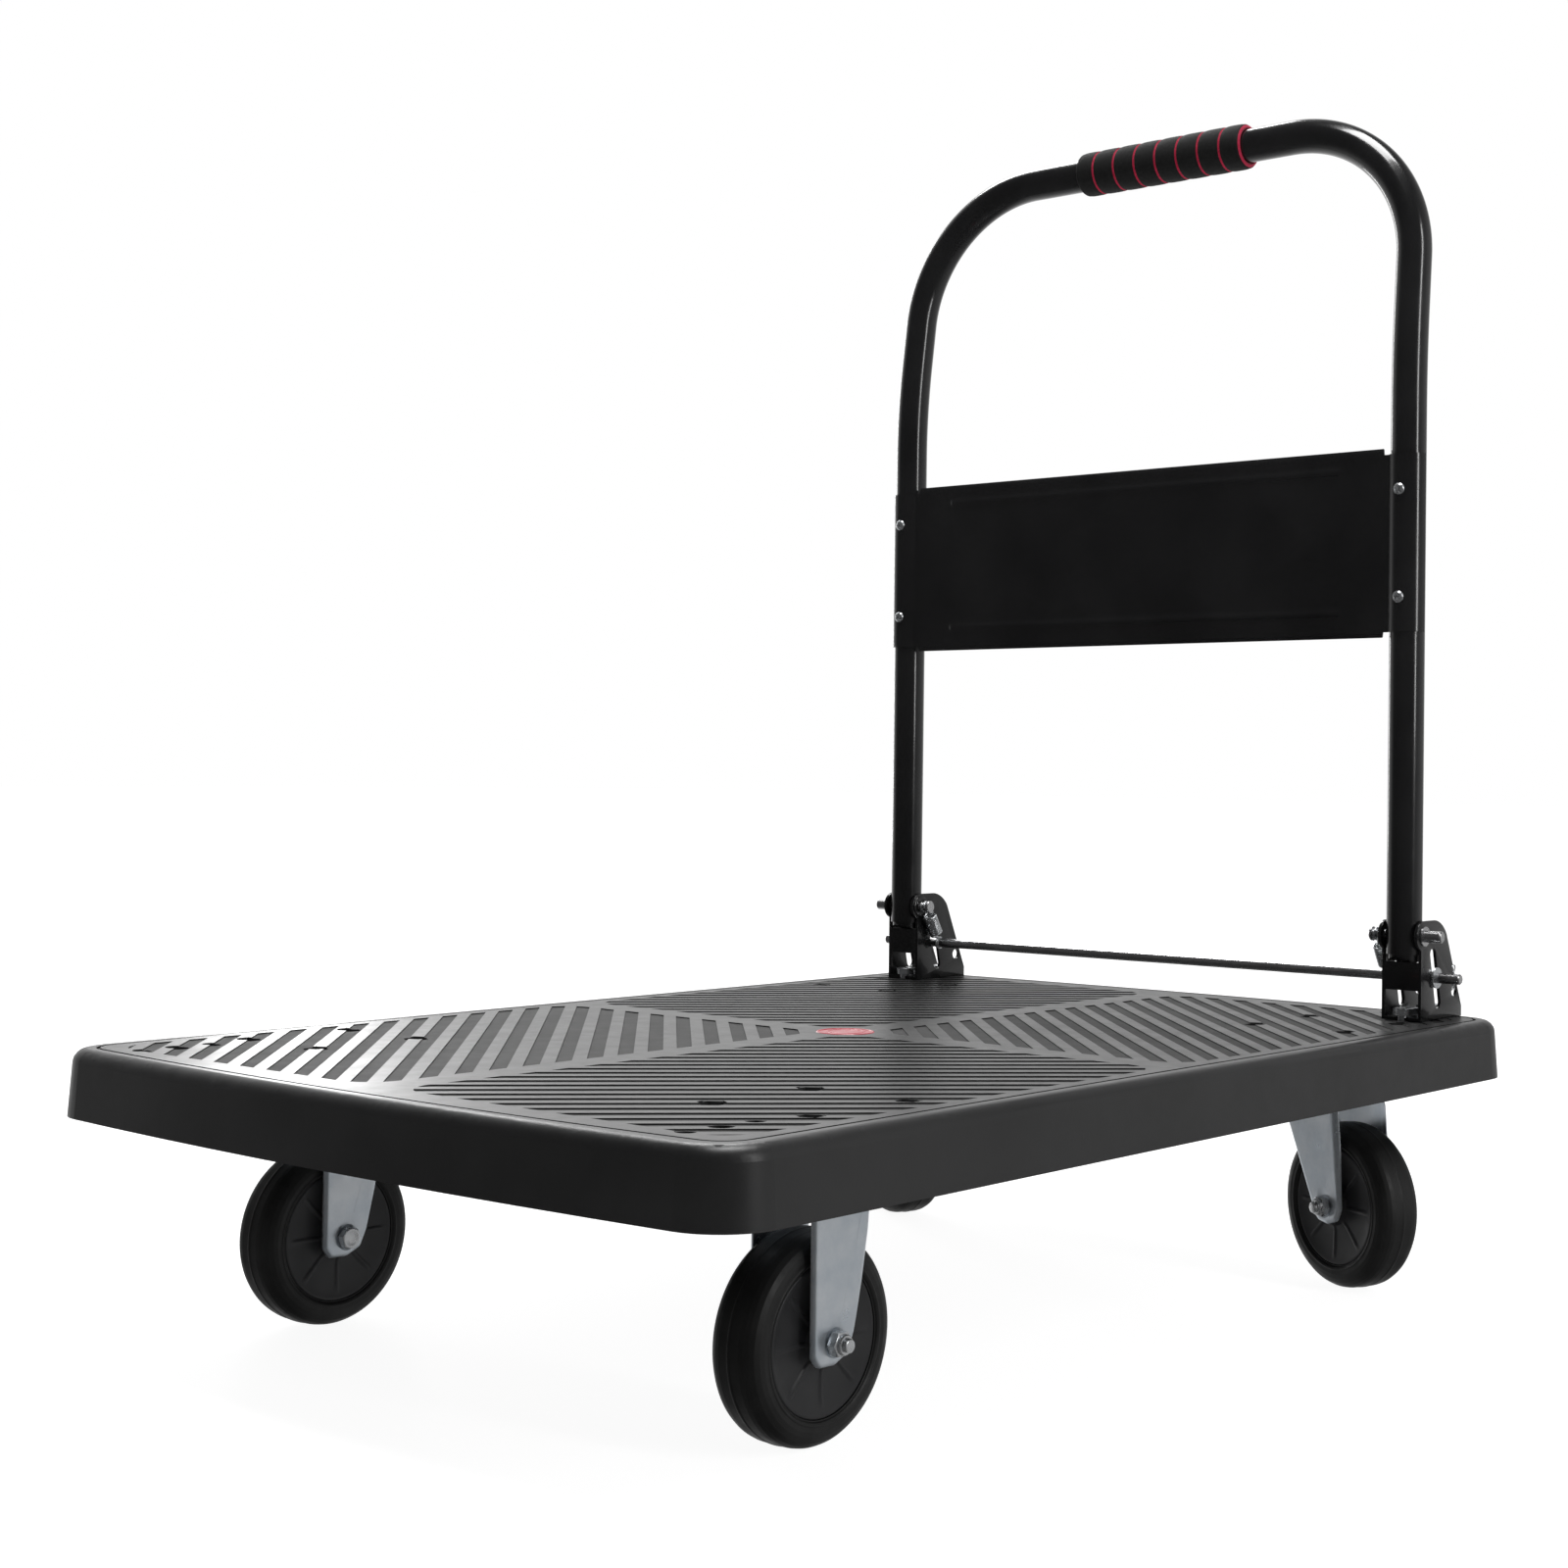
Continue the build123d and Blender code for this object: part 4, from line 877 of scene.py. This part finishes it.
for hand in ("left", "right"):
    eased_bracket(hand)


# ------------------------------------------------------------------ pins, cotters, springs
def pin(hand):
    side = 1 if hand == "left" else -1
    low, high = span("pivot_pin_" + hand)
    ends = (high.y, low.y) if side < 0 else (low.y, high.y)
    inner, outer = abs(ends[0]), abs(ends[1])
    neck_a, neck_b = POST_Y - 25.5, POST_Y - 20.1
    r = 4.5
    shape = [(0, inner), (4.6, inner), (5.5, inner + 1.0)]
    shape += [(5.5, neck_a - 0.3), (4.9, neck_a), (3.6, neck_a + 0.4)]
    shape += [(3.5, neck_b - 0.4), (r, neck_b), (r, outer - 1.1), (r - 1.1, outer), (0, outer)]
    bm = bmesh.new()
    place = facing((PIVOT.x, 0, PIVOT.z), (0, side, 0))
    lathe(bm, rounded(shape, 0.35, 3, closed=False), place, 48, closed=False)
    piece("hinge_pin_" + hand, bm, "deck", [STEEL], ["pivot_pin_" + hand], sharp=40)


def spring(hand):
    """Wound extension spring with a hook round the pin's neck and one round the lock bar."""
    side = 1 if hand == "left" else -1
    y = middle("spring_" + hand).y
    top = Vector((PIVOT.x, y, PIVOT.z))
    bottom = Vector((BAR.x, y, BAR.z))
    run = bottom - top
    length = run.length
    along = run.normalized()
    beside = Vector((0, side, 0))
    across = along.cross(beside)
    wire, coil = 0.8, 5.35
    eye_top, eye_low = 4.45, 4.95
    start, end = 9.2, length - 9.6
    points = []
    for k in range(19):
        a = math.radians(-60 + 300 * k / 18)
        points.append(top + (-along * math.cos(a) + across * math.sin(a)) * eye_top)
    points = points[::-1]
    lead = top + along * (start - 1.6) + across * coil * 0.5
    points.append(lead)
    turns = 10.5
    steps = int(turns * 20)
    for k in range(steps + 1):
        a = TAU * turns * k / steps
        round_wire = (across * math.cos(a) + beside * math.sin(a)) * coil
        points.append(top + along * (start + (end - start) * k / steps) + round_wire)
    points.append(top + along * (end + 1.4) - across * coil * 0.5)
    for k in range(19):
        a = math.radians(-60 + 300 * k / 18)
        points.append(bottom + (along * math.cos(a + math.pi) - across * math.sin(a)) * eye_low)
    bm = bmesh.new()
    rod(bm, points, wire, 10)
    name = "return_spring_" + hand
    obj = piece(name, bm, "deck", [BRIGHT], ["spring_" + hand], sharp=60, ride=False)
    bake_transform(obj)
    return obj


def cotters():
    bm = bmesh.new()
    low, high = span("bar_cotters")
    for y in (low.y + 1.25, high.y - 1.25):
        for way in (1, -1):
            x = BAR.x
            points = []
            for k in range(13):
                a = math.pi * (1 - k / 12)
                points.append((x + way * (0.55 + 1.9 * math.sin(a)), y, high.z - 3.3 - 2.4 * math.cos(a)))
            points += [(x + way * 0.55, y, BAR.z + 4.2), (x + way * 0.55, y, BAR.z - 4.4)]
            points += [(x + way * 1.0, y, BAR.z - 6.4), (x + way * 2.2, y, low.z + 0.9)]
            rod(bm, points, 0.5, 8)
    piece("cotter_pins", bm, "lock_bar", [BRIGHT], ["bar_cotters"], sharp=60)


for hand in ("left", "right"):
    pin(hand)
    spring(hand)
cotters()


# ------------------------------------------------------------------ handle
def filleted_path(points, radii, step=4.0):
    """Straight runs joined by arcs, as points in space."""
    out = [Vector(points[0])]
    for i in range(1, len(points) - 1):
        here = Vector(points[i])
        before = (Vector(points[i - 1]) - here).normalized()
        after = (Vector(points[i + 1]) - here).normalized()
        angle = before.angle(after)
        radius = radii[i - 1]
        reach = radius / math.tan(angle / 2)
        centre = here + (before + after).normalized() * radius / math.sin(angle / 2)
        first = here + before * reach - centre
        last = here + after * reach - centre
        sweep = first.angle(last)
        count = max(4, int(sweep * radius / step))
        axis = first.cross(last).normalized()
        for k in range(count + 1):
            out.append(centre + Matrix.Rotation(sweep * k / count, 3, axis) @ first)
    out.append(Vector(points[-1]))
    dense = [out[0]]
    for p in out[1:]:
        gap = (p - dense[-1]).length
        count = max(1, int(gap / 12))
        dense += [dense[-1].lerp(p, (k + 1) / count) for k in range(count)]
    return dense


def handle():
    top_x, top_z = TUBE_HI.x - TUBE_R, TUBE_HI.z - TUBE_R
    top_y, lean_z, foot = POST_Y - 4.0, 697.0, TUBE_LO.z
    line = [(PIVOT.x, POST_Y, foot), (PIVOT.x, POST_Y, lean_z), (top_x, top_y, top_z)]
    line += [(x, -y, z) for x, y, z in reversed(line)]
    path = filleted_path(line, [700, 116, 116, 700])
    bm = bmesh.new()
    frames = transported(path)
    rows = {}
    for radius in (TUBE_R, TUBE_R - TUBE_WALL):
        rows[radius] = []
        for p, (across, up) in zip(path, frames):
            ring = []
            for k in range(64):
                a = TAU * k / 64
                ring.append(bm.verts.new(p + (across * math.cos(a) + up * math.sin(a)) * radius))
            rows[radius].append(ring)
        quads(bm, rows[radius], wrap=True)
    for end in (0, -1):
        quads(bm, [rows[TUBE_R][end], rows[TUBE_R - TUBE_WALL][end]], wrap=True)
    piece("push_handle", bm, "handle", [PAINT], ["handle_tube"], sharp=40)


def foam_grip():
    """Foam sleeve of swelling bands between crimson grooves, with crimson ends."""
    bm = bmesh.new()
    lo, hi = GRIP_LO.y, GRIP_HI.y
    outer = (GRIP_HI.z - GRIP_LO.z) / 2 - 0.1
    centre = (GRIP_LO + GRIP_HI) / 2
    pitch = (hi - lo) * 0.128
    grooves = [centre.y + (k - 3) * pitch for k in range(7)]
    stops = [lo + 3.2] + [g for groove in grooves for g in (groove - 0.95, groove + 0.95)] + [hi - 3.2]
    profile = [(TUBE_R + 0.05, lo + 1.2, 1), (outer - 3.6, lo + 0.15, 1), (outer - 2.6, lo + 0.4, 1)]
    profile += [(outer - 1.3, lo + 1.2, 0), (outer - 0.5, lo + 2.4, 0)]
    for a, b in zip(stops[::2], stops[1::2]):
        for k in range(9):
            t = k / 8
            swell = 1 - (2 * t - 1) ** 4
            profile.append((outer - 0.45 + 0.45 * swell, a + (b - a) * t, 0))
        if b < hi - 5:
            profile += [(outer - 1.15, b + 0.35, 1), (outer - 1.35, b + 0.95, 1), (outer - 1.15, b + 1.55, 1)]
    profile += [(outer - 0.5, hi - 2.4, 0), (outer - 1.3, hi - 1.2, 0), (outer - 2.6, hi - 0.4, 1)]
    profile += [(outer - 3.6, hi - 0.15, 1), (TUBE_R + 0.05, hi - 1.2, 1)]
    place = facing((centre.x, 0, centre.z), (0, 1, 0))
    rows = []
    for r, y, _ in profile:
        spots = [Vector((r * math.cos(TAU * k / 96), r * math.sin(TAU * k / 96), y)) for k in range(96)]
        rows.append([bm.verts.new(place @ at) for at in spots])
    for i in range(len(rows) - 1):
        red = 1 if profile[i][2] or profile[i + 1][2] else 0
        quads(bm, [rows[i], rows[i + 1]], wrap=True, material=red)
    quads(bm, [rows[-1], rows[0]], wrap=True)
    obj = piece("foam_grip", bm, "handle", [FOAM, CRIMSON], ["grip"], sharp=50)


handle()
foam_grip()


# ------------------------------------------------------------------ panel
PANEL_X = 358.0
WRAP = 15.02             # radius of the sheet where it wraps a post
SHEET_T = 1.35
BEAD_LIFT, BEAD_HALF_W = 1.5, 4.2
CHEVRON_LIFT, CHEVRON_HALF_W = 0.35, 6.0


def ridge(distance, half_width):
    return smooth(1 - abs(distance) / half_width)


def run_distance(p, a, b):
    """Distance from a point to a segment, in the panel's plane."""
    p, a, b = Vector(p), Vector(a), Vector(b)
    t = max(0.0, min(1.0, (p - a).dot(b - a) / (b - a).length_squared))
    return (p - a.lerp(b, t)).length


def panel():
    z0, z1 = PANEL_LO.z, PANEL_HI.z
    flat_half = POST_Y - WRAP - 2.0
    bead_half = flat_half - 38.0
    chevron = [(0.52, 0.27), (0.75, 0.0), (0.35, -0.30), (0.25, -0.23)]
    mid = (z0 + z1) / 2
    corners = [(u * flat_half, mid + v * (z1 - z0)) for u, v in chevron]
    columns = []
    count = 190
    for i in range(count + 1):
        y = flat_half * i / count
        columns.append((PANEL_X, y, 0.0, Vector((-1, 0))))
    start = math.acos((PIVOT.x - PANEL_X) / WRAP)
    finish = -math.radians(86)
    arc_y = POST_Y - WRAP * math.sin(start)
    for k in range(1, 4):
        columns.append((PANEL_X, flat_half + (arc_y - flat_half) * k / 4, 1.0, Vector((-1, 0))))
    for k in range(25):
        a = start + (finish - start) * k / 24
        x = PIVOT.x - WRAP * math.cos(a)
        y = POST_Y - WRAP * math.sin(a)
        columns.append((x, y, 1.0, Vector((-math.cos(a), -math.sin(a)))))
    fine = 96
    levels = [j / fine for j in range(fine + 1)]
    bm = bmesh.new()
    grids = []
    for side in (1, -1):
        grid = []
        for x, y, notch, normal in columns:
            low = z0 + 4.0 * notch
            high = z1 - 5.0 * notch
            row = []
            for t in levels:
                z = low + (high - low) * t
                lift = 0.0
                if notch == 0.0:
                    for bead_z in (mid + (z1 - z0) / 2 - 15.5, mid - (z1 - z0) / 2 + 20.0):
                        away = run_distance((y, z), (0, bead_z), (bead_half, bead_z))
                        lift = max(lift, BEAD_LIFT * ridge(away, BEAD_HALF_W))
                    for p, q in zip(corners, corners[1:]):
                        lift = max(lift, CHEVRON_LIFT * ridge(run_distance((y, z), p, q), CHEVRON_HALF_W))
                edge = min(z - low, high - z)
                curl = 1.5 * (1 - smooth(edge / 2.6)) * (1 - notch)
                at = Vector((x, y)) + normal * (lift - curl)
                row.append(bm.verts.new((at.x, side * at.y, z)))
            grid.append(row)
        quads(bm, grid)
        grids.append(grid)
    obj = loose("sheet", bm, PAINT)
    front = sum((p.normal * p.area for p in obj.data.polygons), Vector())
    if front.x > 0:
        obj.data.flip_normals()
    thicken(obj, SHEET_T)
    finished("brace_panel", obj, "handle", [PAINT], ["panel"])


def screws():
    """Pan heads with a cross recess, on the panel's wraps."""
    bm = bmesh.new()
    low, high = span("panel_screws")
    heights = (low.z + 4.6, high.z - 4.6)
    for side in (1, -1):
        for z in heights:
            place = facing((low.x, side * POST_Y, z), (-1, 0, 0), 0.5)
            rows = []
            for i in range(15):
                r = 4.55 * (1 - i / 14.0)
                row = []
                for k in range(64):
                    a = TAU * k / 64
                    x, y = r * math.cos(a), r * math.sin(a)
                    dome = -1.9 * (r / 4.55) ** 4 - 0.05
                    slot = 0.0
                    if r < 3.2:
                        near = min(abs(x), abs(y))
                        slot = 1.25 * smooth((0.95 - near) / 0.45) * smooth((3.0 - r) / 0.7)
                    row.append(bm.verts.new(place @ Vector((x, y, dome - slot))))
                rows.append(row if r > 1e-6 else row[:1])
            turns = [TAU * k / 64 for k in range(64)]
            base = [Vector((4.5 * math.cos(a), 4.5 * math.sin(a), -2.6)) for a in turns]
            rows.insert(0, [bm.verts.new(place @ at) for at in base])
            rows.insert(0, [bm.verts.new(place @ Vector((0, 0, -2.6)))])
            quads(bm, rows, wrap=True)
            thread(bm, place, 2.05, -2.5, -13.0, pitch=0.8, depth=0.35, segments=20)
    piece("panel_screw_set", bm, "handle", [BRIGHT], ["panel_screws"], sharp=45)


panel()
screws()


# ------------------------------------------------------------------ badge
def badge():
    """Plain domed disc with a raised rim and a ring, no mark on it."""
    low, high = span("badge")
    mid = (low + high) / 2
    r = (high.x - low.x) / 2
    h = high.z - low.z
    bm = bmesh.new()
    shape = [(0, 0), (r, 0), (r, h - 0.5), (r - 0.6, h), (r - 1.8, h), (r - 2.4, h - 0.45)]
    shape += [(r - 7.0, h - 0.3), (r - 7.4, h - 0.05), (r - 8.6, h - 0.05), (r - 9.0, h - 0.3), (0, h - 0.12)]
    place = Matrix.Translation(Vector((mid.x, mid.y, low.z)))
    lathe(bm, rounded(shape, 0.25, 3, closed=False), place, 96, closed=False)
    piece("deck_badge", bm, "deck", [BADGE], ["badge"], sharp=50)


badge()


# ------------------------------------------------------------------ floor, light, camera
def stage():
    s = Shader("studio_floor", Specular_IOR_Level=0.2)
    s.colour(s.mix(s.span(s.noise(0.4, 2.0), 0.3, 0.7, 0, 1), (0.40, 0.40, 0.40), (0.42, 0.42, 0.42)))
    s.bsdf.inputs["Roughness"].default_value = 0.9
    s.bsdf.inputs["Emission Color"].default_value = (1, 1, 1, 1)
    s.bsdf.inputs["Emission Strength"].default_value = 0.93
    s.material.cycles.emission_sampling = "NONE"
    mesh = bpy.data.meshes.new("studio_floor")
    half = 30.0
    corners = [(-half, -half, 0), (half, -half, 0), (half, half, 0), (-half, half, 0)]
    mesh.from_pydata(corners, [], [(0, 1, 2, 3)])
    mesh.materials.append(s.material)
    floor = bpy.data.objects.new("studio_floor", mesh)
    floor.visible_glossy = False
    bpy.context.scene.collection.objects.link(floor)


def sky():
    """White to the camera; to reflections a soft surround, brighter beyond the handle end."""
    world = bpy.data.worlds.new("studio")
    bpy.context.scene.world = world
    world.use_nodes = True
    tree = world.node_tree
    back = tree.nodes["Background"]
    place = tree.nodes.new("ShaderNodeTexCoord")
    glow = 0.05
    for azimuth, strength in ((52.0, 1.0), (-38.0, 0.36)):
        dot = tree.nodes.new("ShaderNodeVectorMath")
        dot.operation = "DOT_PRODUCT"
        dot.inputs[1].default_value = (math.cos(math.radians(azimuth)), math.sin(math.radians(azimuth)), 0.0)
        tree.links.new(place.outputs["Generated"], dot.inputs[0])
        spread = tree.nodes.new("ShaderNodeMapRange")
        spread.inputs["From Min"].default_value = 0.3
        tree.links.new(dot.outputs["Value"], spread.inputs["Value"])
        curve = tree.nodes.new("ShaderNodeMath")
        curve.operation = "POWER"
        curve.inputs[1].default_value = 1.5
        tree.links.new(spread.outputs["Result"], curve.inputs[0])
        level = tree.nodes.new("ShaderNodeMath")
        level.operation = "MULTIPLY_ADD"
        level.inputs[1].default_value = strength
        tree.links.new(curve.outputs["Value"], level.inputs[0])
        if isinstance(glow, float):
            level.inputs[2].default_value = glow
        else:
            tree.links.new(glow, level.inputs[2])
        glow = level.outputs["Value"]
    path = tree.nodes.new("ShaderNodeLightPath")
    mix = tree.nodes.new("ShaderNodeMix")
    tree.links.new(path.outputs["Is Camera Ray"], mix.inputs["Factor"])
    tree.links.new(glow, mix.inputs["A"])
    mix.inputs["B"].default_value = 1.0
    tree.links.new(mix.outputs["Result"], back.inputs["Strength"])
    back.inputs["Color"].default_value = (1, 1, 1, 1)


def lamp(name, at, aim, size, energy):
    data = bpy.data.lights.new(name, "AREA")
    data.shape = "RECTANGLE"
    data.size, data.size_y = size
    data.energy = energy
    obj = bpy.data.objects.new(name, data)
    obj.location = at
    obj.rotation_euler = (Vector(aim) - Vector(at)).to_track_quat("-Z", "Y").to_euler()
    bpy.context.scene.collection.objects.link(obj)


def camera():
    """Camera found by fitting: heading, pitch and roll in degrees, place in metres, lens and sensor in mm."""
    psi, pitch, roll = math.radians(39.417), math.radians(-0.8324), math.radians(0.7198)
    ahead = Vector((math.cos(pitch) * math.cos(psi), math.cos(pitch) * math.sin(psi), -math.sin(pitch)))
    right = Vector((math.sin(psi), -math.cos(psi), 0))
    up = right.cross(ahead)
    x_axis = right * math.cos(roll) + up * math.sin(roll)
    y_axis = up * math.cos(roll) - right * math.sin(roll)
    data = bpy.data.cameras.new("camera")
    data.sensor_width = 36.0
    data.lens = 54.11
    data.shift_x, data.shift_y = -0.0739, -0.0297
    data.clip_end = 200.0
    obj = bpy.data.objects.new("camera", data)
    turn = Matrix((x_axis, y_axis, -ahead)).transposed().to_4x4()
    obj.matrix_world = Matrix.Translation(Vector((-1.26768, -1.08856, 0.37438))) @ turn
    bpy.context.scene.collection.objects.link(obj)
    bpy.context.scene.camera = obj


stage()
sky()
lamp("top_soft", (0.1, -0.3, 2.9), (0.2, 0, 0.4), (1.5, 0.9), 60)
lamp("right_strip", (0.1, -3.0, 1.5), (0.2, 0, 0.5), (0.35, 2.2), 22)
lamp("back_top", (1.5, 1.8, 2.9), (0.3, 0, 0.5), (1.4, 0.8), 45)
lamp("left_strip", (1.6, 2.8, 1.2), (0.3, 0, 0.6), (0.3, 2.0), 12)
camera()
bpy.context.scene.view_settings.view_transform = "Standard"
